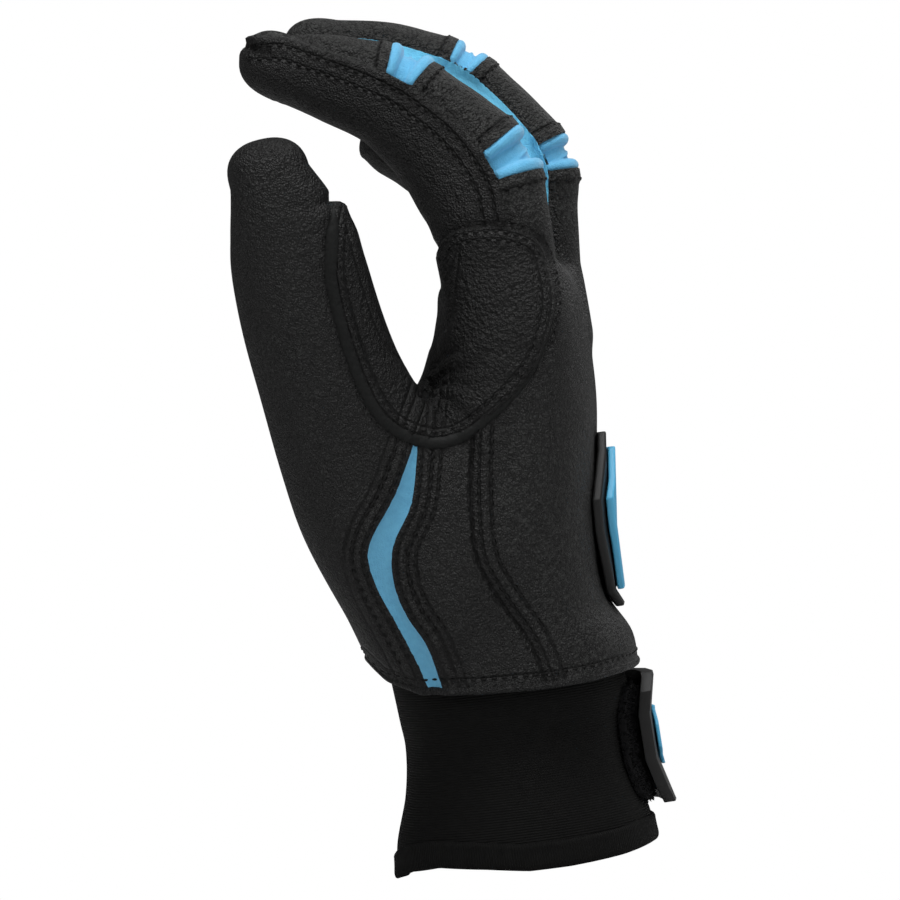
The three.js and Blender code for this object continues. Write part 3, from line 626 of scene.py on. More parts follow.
def surface_net(values, axes):
    """The zero surface: one vertex in each crossed cell, one quad on each crossed edge."""
    inside = values < 0
    known = ~np.isnan(values)
    shape = np.array(values.shape) - 1
    total = np.zeros(tuple(shape) + (3,), np.float32)
    hits = np.zeros(tuple(shape), np.int16)
    crossings = []
    for k in range(3):
        low = [slice(None)] * 3
        high = [slice(None)] * 3
        low[k], high[k] = slice(None, -1), slice(1, None)
        low, high = tuple(low), tuple(high)
        cross = (inside[low] != inside[high]) & known[low] & known[high]
        where = np.argwhere(cross)
        a, b = values[low][cross], values[high][cross]
        place = where.astype(np.float32)
        place[:, k] += a / (a - b)
        crossings.append((k, where, inside[low][cross]))
        others = [j for j in range(3) if j != k]
        for steps in ((0, 0), (0, 1), (1, 0), (1, 1)):
            cell, good = cells_beside(where, others, steps, shape)
            np.add.at(total, tuple(cell[good].T), place[good])
            np.add.at(hits, tuple(cell[good].T), 1)
    number = np.full(tuple(shape), -1, np.int64)
    used = np.argwhere(hits > 0)
    number[tuple(used.T)] = np.arange(len(used))
    spots = total[tuple(used.T)] / hits[tuple(used.T)][:, None]
    origin = np.array([a[0] for a in axes])
    step = np.array([a[1] - a[0] for a in axes])
    quads = []
    for k, where, start_inside in crossings:
        others = [j for j in range(3) if j != k]
        ring = []
        for steps in ((0, 0), (1, 0), (1, 1), (0, 1)):
            cell, good = cells_beside(where, others, steps, shape)
            ring.append(np.where(good, number[tuple(np.clip(cell, 0, shape - 1).T)], -1))
        ring = np.stack(ring, axis=1)
        flip = start_inside if k != 1 else ~start_inside
        ring[~flip] = ring[~flip][:, ::-1]
        quads.append(ring[(ring >= 0).all(axis=1)])
    return origin + spots * step, np.vstack(quads)


def pull_to_field(points, field, rounds=2):
    """Moves points on to the zero surface along the field's slope."""
    h = 0.25  # half the step over which the slope is taken
    for _ in range(rounds):
        rises = [field(points + h * e) - field(points - h * e) for e in np.eye(3)]
        slope = np.stack(rises, axis=1) / (2 * h)
        slope /= np.maximum((slope**2).sum(axis=1), 0.2)[:, None]
        points = points - slope * field(points)[:, None]
    return points


# %% Grow the skin
values, axes = sample_field(FIELD_LOW, FIELD_HIGH, VOXEL, hand_field)
skin_points, skin_quads = surface_net(values, axes)
skin_points = pull_to_field(skin_points.astype(float), hand_field, 1)
skin_tris = np.vstack([skin_quads[:, [0, 1, 2]], skin_quads[:, [0, 2, 3]]])
print("skin:", len(skin_points), "points,", len(skin_tris), "triangles")

# %% [markdown]
# ## Seams
#
# The real glove is cut from flat leather and sewn. Here the seams are lines drawn as the camera sees
# them, and each line becomes a field over the skin: how far a point lies to the left of it. Cutting
# the triangles where a field is zero gives clean edges, with no bitmap mask.

# %% Lines of the seams, in the photograph's plane
STRIPE_FRONT = [(-10.6, 94.5), (-16.5, 84), (-23.8, 74), (-23.8, 66), (-20.5, 56), (-17.3, 46.5), (-15, 38)]
STRIPE_BACK = [
    (-9.6, 94.5), (-13, 82), (-18.6, 73), (-19.6, 65), (-18, 57.5), (-14.6, 50), (-12.8, 41), (-12, 35),
]
SIDE_SEAM = [(2.8, 95.5), (0.2, 80), (-0.4, 67), (3.8, 56), (8.4, 46.5), (10.8, 35)]
SEAM_BAND = [
    (-19.1, 152), (-22.6, 138), (-23, 130.1), (-21.9, 119.1), (-19.6, 108.2), (-16.7, 101.4), (-11.8, 96.6),
    (-5.8, 94), (0.3, 94.6), (5, 96.7), (11.3, 100.6), (18.2, 106.3), (22.5, 112.9),
]  # the thick seam from the thumb's tip down round its web
PATCH_LOOP = SEAM_BAND + [
    (25.4, 121), (25.4, 130), (23.3, 135.8), (17, 139.4), (10.5, 140.4), (5, 140), (1.2, 136.8), (-1, 130),
    (-3, 122), (-6, 114.5), (-11.5, 120), (-14.5, 138), (-16, 151),
]  # the patch takes in the thumb's inner side
RIDGE = [  # the seam along the index, between its side and its back
    (-32.5, 189.9), (-25, 188.8), (-20.8, 186.8), (-15.6, 183.9), (-8.1, 179.7), (-0.2, 174.4), (5, 169.5),
    (9.4, 164.7), (13.9, 157.6), (17, 149.7), (17.6, 142.6),
]
TIP_FOLD = [(-34.5, 189.2), (-31.5, 187.2), (-28, 185.4)]  # the mouth of turned leather at the index tip
FOLD_EDGE = [(-9.3, 106.9), (-3.4, 113.3), (5.3, 122.8)]  # the web's largest fold, over the patch
PINCH = [(-17.5, 152.0), (-24, 150.5), (-30, 151.5)]  # the fold where the thumb's seam ends
FAR_SEAM = [(17, 135), (14, 128), (5, 116), (4, 100), (4, 70), (4, 34)]  # on the little finger's side
EDGE_LINE = [
    (-40, 16.5), (-27.6, 12.6), (-23.7, 7.7), (-16.7, 4.2), (-5, 2.6), (9, 1.6), (19.6, 1.5), (29.7, 2.2),
    (40, 3),
]  # x, and the rise of the leather's lower edge there
NEAR_SIDE = -14.0  # seams drawn from the camera's side lie nearer than this
STATIONS = {"lower": 2, "upper": 4}  # of a finger's flex hinges
WEDGE = {"lower": 12.4, "upper": 14.2}  # half the angle of an index insert, in degrees
INSERT_LEAN = {("index", "upper"): 3.0}  # this insert leans towards the tip, in degrees
WEDGE_SHARE = {"index": 1.0, "middle": 0.8, "ring": 0.8, "little": 0.8}
STRIP_SHARES = (-0.2, 0.5)  # a strip's edges, as shares of the finger's half depth
PLAIN_SHARE = 0.2  # where an insert ends on a side without a strip
STRIP_START = 14  # a strip starts this far below the knuckle
STRIP_END = 3  # and ends this far before the tip's cap
STRIP_OUT, INSERT_OUT = 0.7, 1.2  # both end this far outside the finger's own surface
STRIP_MIDDLE = 0.3  # a strip keeps this share of the width away from the middle
STRIP_SIDES = {"index": (1,), "middle": (-1, 1), "ring": (-1, 1), "little": (-1,)}
LINE_STEPS = 6  # pieces of a smooth line from one of its points to the next
LINE_CHUNK = 40000
LINE_RUN_ON = 50  # an open line runs on by this many of its pieces


print("the web's seam:", round(float(lengths(np.array(SEAM_BAND))[-1])), "mm long")

# %% Distances to the lines


def seen(points):
    """Where the camera sees a point on the photograph's plane, as x and z."""
    scale = DISTANCE / (DISTANCE + points[:, 1])
    x = aim_x + (points[:, 0] - aim_x) * scale
    return np.stack([x, aim_z + (points[:, 2] - aim_z) * scale], axis=1)


def seen_from_far(points):
    """The same, for an eye on the little finger's side."""
    return seen(points * np.array([1, -1, 1]))


def line_field(line, flat, closed=False):
    """Signed distance to a smooth line in the plane: positive on the left of its nearest piece."""
    points = np.array(line, float)
    if closed:
        wrapped = np.vstack([points[-2:], points, points[:2]])
        dense = catmull(wrapped, LINE_STEPS)[2 * LINE_STEPS:-LINE_STEPS]
    else:
        dense = catmull(points, LINE_STEPS)
    a, b = dense[:-1], dense[1:]
    run = b - a
    least, most = np.zeros(len(a)), np.ones(len(a))
    if not closed:
        least[0], most[-1] = -LINE_RUN_ON, LINE_RUN_ON
    result = np.empty(len(flat))
    for low in range(0, len(flat), LINE_CHUNK):
        q = flat[low:low + LINE_CHUNK]
        offset = q[:, None, :] - a
        t = np.clip((offset * run).sum(axis=2) / (run**2).sum(axis=1), least, most)
        gap = offset - t[:, :, None] * run
        square = (gap**2).sum(axis=2)
        pick = square.argmin(axis=1)
        rows = np.arange(len(q))
        turn = run[pick, 0] * offset[rows, pick, 1] - run[pick, 1] * offset[rows, pick, 0]
        result[low:low + LINE_CHUNK] = np.sqrt(square[rows, pick]) * np.where(turn >= 0, 1, -1)
    return result


def hinge_of(name, which):
    """A flex hinge's place in x and z and its heading, near the palm side of a finger."""
    rows, links = finger_rows[name], FINGERS[name][4]
    station = STATIONS[which]
    heading = (links[station - 2][1] + links[station - 1][1]) / 2 + INSERT_LEAN.get((name, which), 0.0)
    centre = np.array([rows[station][0], rows[station][2]])
    return centre - outward(heading) * (rows[station][3] - HINGE_INSET), heading


# %% Fields over the skin


def edge_field(points):
    """Height over the leather's lower edge."""
    xs, lift = np.array(EDGE_LINE).T
    return points[:, 2] - LEATHER_EDGE - np.interp(points[:, 0], xs, lift)


def stripe_field(points):
    """Negative on the stripe beside the thumb."""
    flat = seen(points)
    sides = [-line_field(STRIPE_FRONT, flat), line_field(STRIPE_BACK, flat), points[:, 1] - NEAR_SIDE]
    return np.max(sides, axis=0)


def patch_field(points):
    """Negative on the patch of the web."""
    return np.maximum(-line_field(PATCH_LOOP, seen(points), closed=True), points[:, 1] - NEAR_SIDE - 2)


def finger_mask(name, points):
    """The points that may lie on a finger."""
    half, _, knuckle_z = FINGERS[name][:3]
    return (np.abs(points[:, 1] - finger_y[name]) < half + 2) & (points[:, 2] > knuckle_z - STRIP_START)


def strips_field(name, points, c, surface):
    """Negative on a finger's side strips."""
    back = c["back"] / c["depth"]
    span = np.maximum(STRIP_SHARES[0] - back, back - STRIP_SHARES[1]) * c["depth"]
    total = limbs[name]["arc"][-1]
    ends = np.maximum(FINGER_ROOT - STRIP_START - c["arc"], c["arc"] - total + STRIP_END)
    span = np.max([span, ends, surface - STRIP_OUT], axis=0)
    middle = STRIP_MIDDLE * c["width"]
    sides = [np.maximum(span, middle - side * c["side"]) for side in STRIP_SIDES[name]]
    return np.min(sides, axis=0)


# %% Fields of the inserts


def wedge_slope(name, which):
    """Half an insert's width for each mm away from its hinge."""
    return WEDGE_SHARE[name] * math.tan(math.radians(WEDGE[which]))


def across_wedge(name, which, points):
    """How far points lie outside an insert's two long edges."""
    axis, heading = hinge_of(name, which)
    flat = points[:, [0, 2]] - axis
    width = flat @ outward(heading) * wedge_slope(name, which)
    return np.abs(flat @ along(heading)) - width


def past_ends(name, points, c):
    """How far points lie past an insert's ends: a strip, a share of the depth or the index's ridge."""
    low = np.full(len(points), PLAIN_SHARE)
    for side in STRIP_SIDES[name]:
        low = np.where(side * c["side"] > 0, STRIP_SHARES[1], low)
    past = (low - c["back"] / c["depth"]) * c["depth"]
    if name != "index":
        return past
    return np.where(c["side"] < 0, -line_field(RIDGE, seen(points)), past)


def wedge_field(name, which, points, c, surface):
    """Negative where a gathered insert takes the place of a finger's leather."""
    limits = [across_wedge(name, which, points), past_ends(name, points, c), surface - INSERT_OUT]
    return np.max(limits, axis=0)


def hems_field(name, points, c, surface):
    """Distance from the long edges of a finger's inserts, along its back only."""
    apart = np.minimum(across_wedge(name, "lower", points), across_wedge(name, "upper", points))
    return np.where((past_ends(name, points, c) < 0.4) & (np.abs(surface) < 3), apart, 9.0)


def on_finger(name, points, make, far=9.0):
    """A finger's field over all the points: far outside it, a plain positive number."""
    result = np.full(len(points), far)
    mask = finger_mask(name, points)
    c = limb_coordinates(name, points[mask])
    result[mask] = make(name, points[mask], c, limb_surface(c))
    return result


def wedges_field(name, points, c, surface):
    """Negative on a finger's two inserts."""
    return np.minimum(*(wedge_field(name, which, points, c, surface) for which in ("lower", "upper")))


# %% Cut the skin's triangles along a field


def imprint(points, tris, field, snap=0.1):
    """Splits triangles where the field changes sign. Returns points, triangles, parents and field."""
    value = np.where(np.abs(field) < snap, 0.0, field)
    sign = np.sign(value).astype(int)[tris]
    mixed = (sign.min(axis=1) < 0) & (sign.max(axis=1) > 0)
    keep, cut = tris[~mixed], tris[mixed]
    parents = [np.nonzero(~mixed)[0]]
    owner = np.nonzero(mixed)[0]
    edges = np.sort(np.vstack([cut[:, [0, 1]], cut[:, [1, 2]], cut[:, [2, 0]]]), axis=1)
    crossing = value[edges[:, 0]] * value[edges[:, 1]] < 0
    unique, inverse = np.unique(edges[crossing], axis=0, return_inverse=True)
    a, b = value[unique[:, 0]], value[unique[:, 1]]
    t = (a / (a - b))[:, None]
    fresh = points[unique[:, 0]] * (1 - t) + points[unique[:, 1]] * t
    middle = np.full(len(edges), -1)
    middle[crossing] = len(points) + inverse.ravel()
    middle = middle.reshape(3, -1).T
    made = [keep]
    turns = ((0, 1, 2), (1, 2, 0), (2, 0, 1))
    for i, j, k in turns:
        lone = (middle[:, i] >= 0) & (middle[:, k] >= 0)
        v, m = cut[lone], middle[lone]
        made += [
            np.stack([v[:, i], m[:, i], m[:, k]], axis=1),
            np.stack([m[:, i], v[:, j], v[:, k]], axis=1),
            np.stack([m[:, i], v[:, k], m[:, k]], axis=1),
        ]
        parents += [owner[lone]] * 3
        single = (middle[:, i] >= 0) & (middle[:, j] < 0) & (middle[:, k] < 0)
        v, m = cut[single], middle[single]
        made.append(np.stack([v[:, i], m[:, i], v[:, k]], axis=1))
        made.append(np.stack([m[:, i], v[:, j], v[:, k]], axis=1))
        parents += [owner[single]] * 2
    value = np.concatenate([value, np.zeros(len(fresh))])
    return np.vstack([points, fresh]), np.vstack(made), np.concatenate(parents), value


# %% Cut the skin
points, tris = skin_points, skin_tris
labels = np.zeros(len(tris), int)  # 0 leather, 1 stripe, 2 patch, 3 strip, 4 insert, 5 cut away
regions = [(5, edge_field), (1, stripe_field), (2, patch_field)]
for name in FINGERS:
    regions.append((3, lambda p, n=name: on_finger(n, p, strips_field)))
    regions.append((4, lambda p, n=name: on_finger(n, p, wedges_field)))
for label, make in regions:
    points, tris, parent, value = imprint(points, tris, make(points))
    labels = labels[parent]
    labels[(value[tris].sum(axis=1) < 0) & (labels != 5)] = label
    if label == 5:
        good = labels != 5
        tris, labels = tris[good], labels[good]
print("cut skin:", len(points), "points,", {k: int((labels == k).sum()) for k in range(6)})

# %% [markdown]
# ## Relief
#
# Leather is not flat near a seam: it puffs up beside the thread, folds over at a hem and gathers where
# the thumb meets the palm. These small heights are added along the skin's normals.

# %% Helpers for the relief


def smooth(value, low, high):
    """A smooth step from 0 at low to 1 at high."""
    t = np.clip((value - low) / (high - low), 0, 1)
    return t * t * (3 - 2 * t)


def ridge_bump(value, centre, width):
    """A soft ridge of height 1 where the value equals the centre."""
    return np.exp(-(((value - centre) / width) ** 2))


def vertex_normals(points, tris):
    """The normals of points, from the triangles round each."""
    a, b, c = (points[tris[:, k]] for k in range(3))
    face = np.cross(b - a, c - a)
    total = np.zeros_like(points)
    for k in range(3):
        np.add.at(total, tris[:, k], face)
    return total / np.maximum(np.linalg.norm(total, axis=1), 1e-9)[:, None]


def wave(points, scale, seed):
    """Soft noise from a few crossed waves with fixed random directions, between about -1 and 1."""
    maker = np.random.default_rng(seed)
    total = np.zeros(len(points))
    for _ in range(7):
        direction = maker.normal(size=3)
        direction *= maker.uniform(0.6, 1.4) * 2 * math.pi / scale / np.linalg.norm(direction)
        total += np.sin(points @ direction + maker.uniform(0, 6.28))
    return total / 3.7


# %% Distances on the skin
FAR = 30  # a distance that no seam groove or ridge reaches, in mm
SIDE_TOP = 97  # the side seam ends below this
used, inverse = np.unique(tris, return_inverse=True)
points, tris = points[used], inverse.reshape(-1, 3)
flat = seen(points)
near = smooth(-points[:, 1], -NEAR_SIDE - 3, -NEAR_SIDE + 3)
d_edge = edge_field(points)
d_stripe = stripe_field(points)
d_patch = patch_field(points)
d_side = np.where(points[:, 2] < SIDE_TOP, line_field(SIDE_SEAM, flat), FAR)
d_side = np.clip(d_side + 2 * FAR * (1 - near), -FAR, FAR)
far_side = smooth(points[:, 1], 10, 16)
d_far = line_field(FAR_SEAM, seen_from_far(points)) + 2 * FAR * (1 - far_side)
d_side = np.where(points[:, 1] > 0, np.clip(d_far, -FAR, FAR), d_side)
d_ridge = np.clip(line_field(RIDGE, flat), -FAR, FAR)
on_index = on_finger("index", points, lambda n, p, c, s: np.maximum(s, c["side"] + 2)) < 1.2
d_ridge = np.where(on_index & (points[:, 2] > FINGERS["index"][2]), d_ridge, FAR)
d_hem, d_strip = (
    np.min([np.clip(on_finger(n, points, make), -9, 9) for n in FINGERS], axis=0)
    for make in (hems_field, strips_field)
)


def back_share(name, places, c, surface):
    """1 on the back panel of a finger, 0 elsewhere."""
    return smooth(c["back"] / c["depth"], 0.16, 0.3) * smooth(c["arc"], FINGER_ROOT - 4, FINGER_ROOT + 4)


dorsal_share = np.max([on_finger(n, points, back_share, 0.0) for n in FINGERS], axis=0)
dorsal_share = np.maximum(dorsal_share, 0.5 * smooth(d_side, 3, 8) * (d_side < FAR - 1))
print("points on the stripe and the patch:", int((d_stripe < 0).sum()), int((d_patch < 0).sum()))

# %% Pleats of the web
WEB = np.array([-9.3, 106.9])  # the point of the web between thumb and index, from which the pleats fan out
PLEATS = (0.52, 0.2, -0.06, -0.5, -0.9)  # their directions, in radians
PLEAT_DEPTH = 3.0
normals = vertex_normals(points, tris)
reach = flat - WEB
angle = np.arctan2(reach[:, 1], reach[:, 0])
far = np.hypot(reach[:, 0], reach[:, 1])
bent = angle + 0.1 * wave(points, 16, 3)
fan = sum(np.exp(-np.abs(bent - pleat) * far / (0.6 + 0.08 * far)) for pleat in PLEATS)
fade = smooth(far, 0.5, 3) * np.exp(-far / 14) * near
fade *= smooth(angle, -1.5, -0.6) * (1 - smooth(angle, 1.2, 1.45))
facing = smooth(-normals[:, 1], 0.05, 0.35)  # the folds lie on the camera's side of the web
fade *= facing
# Painted shade: through this attribute the leather's colour is darkened along the pleats' creases.
crease = np.clip(fan * fade, 0, 1)
height = PLEAT_DEPTH * (0.35 - fan) * fade
fold = np.clip(line_field(FOLD_EDGE, flat), -20, 20)
lap = smooth(-fold, -0.4, 0.4)
along_fold = np.exp(-(((far - 10) / 8) ** 2)) * near * smooth(angle, 0, 0.4) * facing
over = lap * np.exp(np.minimum(fold, 0) / 5)
under = (1 - lap) * np.exp(-np.maximum(fold, 0) / 2)
height += along_fold * (over - 0.5 * under)
print("pleats:", len(PLEATS))

# %% Heights along the seams
HEM_RISE = 0.45  # of the turned leather beside an insert
HEM_FLARE = 0.5
SLACK = 0.35  # of the leather everywhere
PATCH_RISE = 0.7
STRIPE_SINK = 0.55
SEAM_LIP = 0.45  # between the two rows of the side seam
SEAM_SINK = 0.5
STRIP_SINK = 0.6
RIDGE_RISE = 0.95
RIDGE_SINK = 0.8
PINCH_DEEP, PINCH_WIDE = 1.1, 8
MOUTH_DEEP, MOUTH_WIDE = 1.2, 4.5
height += SLACK * wave(points, 26, 5) * smooth(d_edge, 6, 20)
height += PATCH_RISE * smooth(-d_patch, -0.2, 0.8) - SEAM_SINK * ridge_bump(d_patch, 0.2, 0.8) * near
height -= STRIPE_SINK * smooth(-d_stripe, -0.1, 0.7)
height += 0.4 * ridge_bump(d_stripe, 1.5, 1.2) * near
seam = SEAM_LIP * ridge_bump(d_side, 2.8, 1.6) - SEAM_SINK * ridge_bump(d_side, 0, 0.7)
height += seam * (np.abs(d_side) < 12)
height += HEM_RISE * smooth(2.9 - d_hem, 0, 0.6) + HEM_FLARE * smooth(8 - d_hem, 0, 7)
height -= STRIP_SINK * smooth(-d_strip, -0.2, 0.7) + 0.35 * ridge_bump(d_strip, 0.5, 0.6)
height += RIDGE_RISE * ridge_bump(d_ridge, -1.1, 0.9) - RIDGE_SINK * ridge_bump(d_ridge, 0.7, 0.7)
height += 0.35 * ridge_bump(d_ridge, -3.6, 1.1)
pinch = np.clip(line_field(PINCH, flat), -9, 9)
close = near * np.exp(-((np.linalg.norm(flat - np.array(PINCH[0]), axis=1) / PINCH_WIDE) ** 2))
height += close * (0.6 * ridge_bump(pinch, 2.4, 2.0) - PINCH_DEEP * ridge_bump(pinch, 0, 1.3))
mouth = np.clip(line_field(TIP_FOLD, flat), -9, 9)
close = near * np.exp(-((np.linalg.norm(flat - np.array(TIP_FOLD[1]), axis=1) / MOUTH_WIDE) ** 2))
height += close * (0.5 * ridge_bump(mouth, 1.6, 1.0) - MOUTH_DEEP * ridge_bump(mouth, 0, 0.8))
points = points + normals * height[:, None]
normals = vertex_normals(points, tris)
print("relief from", round(float(height.min()), 2), "to", round(float(height.max()), 2), "mm")

# %% [markdown]
# ## Pieces by joint
#
# A leather stall bends over each joint. The skin is shared out among the joints, each piece starting a few
# millimetres before its joint, so neighbouring pieces always meet. The hand's pieces ride on its body; the joints'
# pieces stay where they are made.

# %% Which joint each place belongs to
KNUCKLE_REACH = (-2.0, 4.5)
LOWER_REACH = (-5.0, 7.0)
UPPER_REACH = (-6.0, 7.0)
THUMB_BASE_REACH = (-8.0, 9.0)
THUMB_TIP_REACH = (-7.0, 7.0)
THUMB_HEADINGS = (11.0, 5.6)  # at its two joints, in degrees
# a bend's piece starts this many mm before the bend's reach
LEAD = {"knuckle": 0.5, "lower_flex": 0.3, "upper_flex": 0.5, "base": 2.5, "tip": 1.5}


def joint_pose(name):
    """A joint's place in mm, as the frame gives it."""
    joint = next(j for j in frame["joints"] if j["name"] == name)
    return np.array(joint["pos_m"]) / MM


bends = {}  # name: bodies, axis point, direction, reach


def add_bends(limb, chain, kinds):
    """Adds a limb's joints, each with its heading and how far it bends the skin on either side."""
    for i, (kind, heading, reach_mm) in enumerate(kinds):
        name = f"{limb}_{kind}"
        bends[name] = (chain[i], chain[i + 1], joint_pose(name), along_3d(heading), reach_mm)


for name in FINGERS:
    add_bends(name, ["hand", f"{name}_proximal", f"{name}_middle", f"{name}_distal"], (
        ("knuckle", FINGERS[name][4][0][1] / 2, KNUCKLE_REACH),
        ("lower_flex", hinge_of(name, "lower")[1], LOWER_REACH),
        ("upper_flex", hinge_of(name, "upper")[1], UPPER_REACH),
    ))
add_bends("thumb", ["hand", "thumb_proximal", "thumb_distal"], (
    ("base", THUMB_HEADINGS[0], THUMB_BASE_REACH), ("tip", THUMB_HEADINGS[1], THUMB_TIP_REACH),
))
bend_names = list(bends)


print("bends:", ", ".join(bend_names))

# %% Share the skin out among the joints


def bend_of(places):
    """The number of the bend that each place belongs to, or -1 on the rigid hand."""
    result = np.full(len(places), -1)

    def past(limb, kind):
        _, _, axis, direction, reach_mm = bends[f"{limb}_{kind}"]
        return (places - axis) @ direction > reach_mm[0] - LEAD[kind]

    fingers = np.min([limb_field(n, places) for n in FINGERS], axis=0)
    on_thumb = (limb_field("thumb", places) < fingers) & (places[:, 0] < WEB[0]) & (places[:, 1] < -8)
    on_thumb &= past("thumb", "base")
    result[on_thumb] = bend_names.index("thumb_base")
    result[on_thumb & past("thumb", "tip")] = bend_names.index("thumb_tip")
    edges = [finger_y[n] for n in FINGERS]
    borders = [(a + b) / 2 for a, b in zip(edges, edges[1:])]
    column = np.searchsorted(borders, places[:, 1])
    for i, name in enumerate(FINGERS):
        mine = (column == i) & ~on_thumb
        for kind in ("knuckle", "lower_flex", "upper_flex"):
            mine &= past(name, kind)
            result[mine] = bend_names.index(f"{name}_{kind}")
    return result


def attach(obj, bend):
    """Lets a piece ride on the hand, or bakes a joint's piece in place."""
    if bend < 0:
        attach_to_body(obj, "hand")
        return
    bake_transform(obj)


tri_bend = bend_of(points[tris].mean(axis=1))
print("triangles by joint:", {n: int((tri_bend == i).sum()) for i, n in enumerate(bend_names)})

# %% [markdown]
# ## Meshes from the skin
#
# Every piece is a thin wall: an outer face, an inner face a leather's thickness below it, and a rim
# wherever the leather really ends. Normals come from the whole skin, so no joint line shows.

# %% Turn triangles into pieces
WALL = 1.2  # thickness of leather and fabric


def make_object(name, places, faces, material, normals=None, extra=None):
    """A new mesh object from places in mm, with its material, vertex normals and float attributes."""
    mesh = bpy.data.meshes.new(name)
    mesh.from_pydata((np.asarray(places) * MM).tolist(), [], [tuple(f) for f in faces])
    mesh.polygons.foreach_set("use_smooth", np.ones(len(mesh.polygons), bool))
    for key, data in (extra or {}).items():
        mesh.attributes.new(key, "FLOAT", "POINT").data.foreach_set("value", np.asarray(data, np.float32))
    mesh.update()
    if normals is not None:
        mesh.normals_split_custom_set_from_vertices(np.asarray(normals).tolist())
    mesh.materials.append(material)
    return add_object(name, mesh)


def edge_pairs(faces):
    """The three edges of each triangle, in its own direction."""
    return np.vstack([faces[:, [0, 1]], faces[:, [1, 2]], faces[:, [2, 0]]])


print("wall:", WALL, "mm")

# %% Where the leather ends
present = labels != 4
directed = edge_pairs(tris[present])
key = directed.min(axis=1).astype(np.int64) * len(points) + directed.max(axis=1)
_, first, counts = np.unique(key, return_index=True, return_counts=True)
open_edges = directed[first[counts == 1]]
open_keys = set(zip(open_edges[:, 0].tolist(), open_edges[:, 1].tolist()))
seam_data = {
    "stripe": np.clip(d_stripe, -20, 20), "patch": np.clip(d_patch, -20, 20), "side": d_side,
    "ridge": d_ridge, "hem": d_hem, "edge": np.clip(d_edge, -5, FAR), "rough": np.clip(-d_patch / 6, 0, 1),
    "dorsal": dorsal_share, "crease": crease,
}


print("open edges:", len(open_edges))

# %% Cut the pieces


def skin_piece(name, chosen, material, with_data):
    """The chosen triangles of the skin as a thin wall."""
    faces = tris[chosen]
    own, local = np.unique(faces, return_inverse=True)
    local = local.reshape(-1, 3)
    count = len(own)
    outer, normal = points[own], normals[own]
    number = {int(v): i for i, v in enumerate(own)}
    rim = [(number[b], number[a], number[a] + count, number[b] + count)
           for a, b in edge_pairs(faces).tolist() if (a, b) in open_keys]
    every = local.tolist() + (local[:, ::-1] + count).tolist() + rim
    extra = {k: np.tile(v[own], 2) for k, v in seam_data.items()} if with_data else None
    places = np.vstack([outer, outer - normal * WALL])
    return make_object(name, places, every, material, np.vstack([normal, -normal]), extra)


TARGETS = {"knuckle": "proximal", "lower_flex": "middle", "upper_flex": "distal"}
SIDE_WORDS = {-1: "near", 1: "far"}
HAND_NODES = {
    "leather": ["back_panel", "side_panel", "palm_panel"], "stripe": ["thumb_stripe"],
    "patch": ["crotch_patch"],
}
KINDS = (
    ("leather", "leather", leather), ("stripe", "stretch", fabric),
    ("patch", "leather", leather), ("strip", "stretch", side_fabric),
)  # the skin's labels in order: word, slot and material
made = []
for bend in range(-1, len(bend_names)):
    joint = bend_names[bend] if bend >= 0 else "hand"
    limb, _, kind = joint.partition("_")
    part = TARGETS.get(kind)
    for label, (word, slot, material) in enumerate(KINDS):
        chosen = (labels == label) & (tri_bend == bend)
        if not chosen.any():
            continue
        obj = skin_piece(f"{joint}_{word}", chosen, material, slot == "leather")
        attach(obj, bend)
        nodes = []
        if bend < 0:
            nodes = HAND_NODES.get(word, [])
        elif limb == "thumb" and word == "leather":
            nodes = [{"base": "thumb_proximal", "tip": "thumb_distal"}[kind]]
        elif part and word == "leather":
            nodes = [f"{limb}_{part}"]
        elif part and word == "strip":
            nodes = [f"{limb}_{part}_{SIDE_WORDS[s]}_strip" for s in STRIP_SIDES[limb]]
        if nodes:
            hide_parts(*nodes)
        made.append(obj.name)
print(len(made), "skin pieces:", ", ".join(made))

# %% [markdown]
# ## Gathered flex inserts
#
# Over each finger joint the leather is left out and a wider piece of stretch fabric is sewn in. It
# buckles into two fat rolls with a sunken fold between them. Each insert is a small grid laid on the
# finger and lifted by that profile, closed underneath.

# %% Grids that are closed underneath


def grid_faces(rows, columns, start=0, turn=False):
    """Quads of a grid of points, with their first corner's number."""
    index = start + np.arange(rows * columns).reshape(rows, columns)
    corners = [index[:-1, :-1], index[:-1, 1:], index[1:, 1:], index[1:, :-1]]
    quads = np.stack(corners, axis=-1).reshape(-1, 4)
    return quads[:, ::-1] if turn else quads


def closed_grid(top, bottom):
    """A closed shell from two grids of points of the same shape."""
    rows, columns = top.shape[:2]
    count = rows * columns
    index = np.arange(count).reshape(rows, columns)
    border = np.concatenate([index[0, :-1], index[:-1, -1], index[-1, :0:-1], index[:0:-1, 0]])
    after = np.roll(border, -1)
    wall = np.stack([after, border, border + count, after + count], axis=1)
    faces = np.vstack([grid_faces(rows, columns), grid_faces(rows, columns, count, True), wall])
    return np.vstack([top.reshape(-1, 3), bottom.reshape(-1, 3)]), faces


# %% Where an insert lies
ROLL_SIZES = (0.8, 1.8)  # the least and the largest roll
ROLL_SHARE = 0.34  # of half the insert's width
ROLL_SINK, ROLL_TALL = 0.9, 1.2
WEB_SINK, FOLD_RISE = 1.7, 1.2  # the web between the rolls, and the fold across it
END_ROUND = 1.9  # an insert's ends turn down over this length
END_SINK = 1.3
INSERT_UNDER = 2.1  # the closed underside lies this far below the finger's surface
INSERT_STEPS = (53, 41)
TUCK = 0.05  # an insert runs this share of the depth under its neighbours


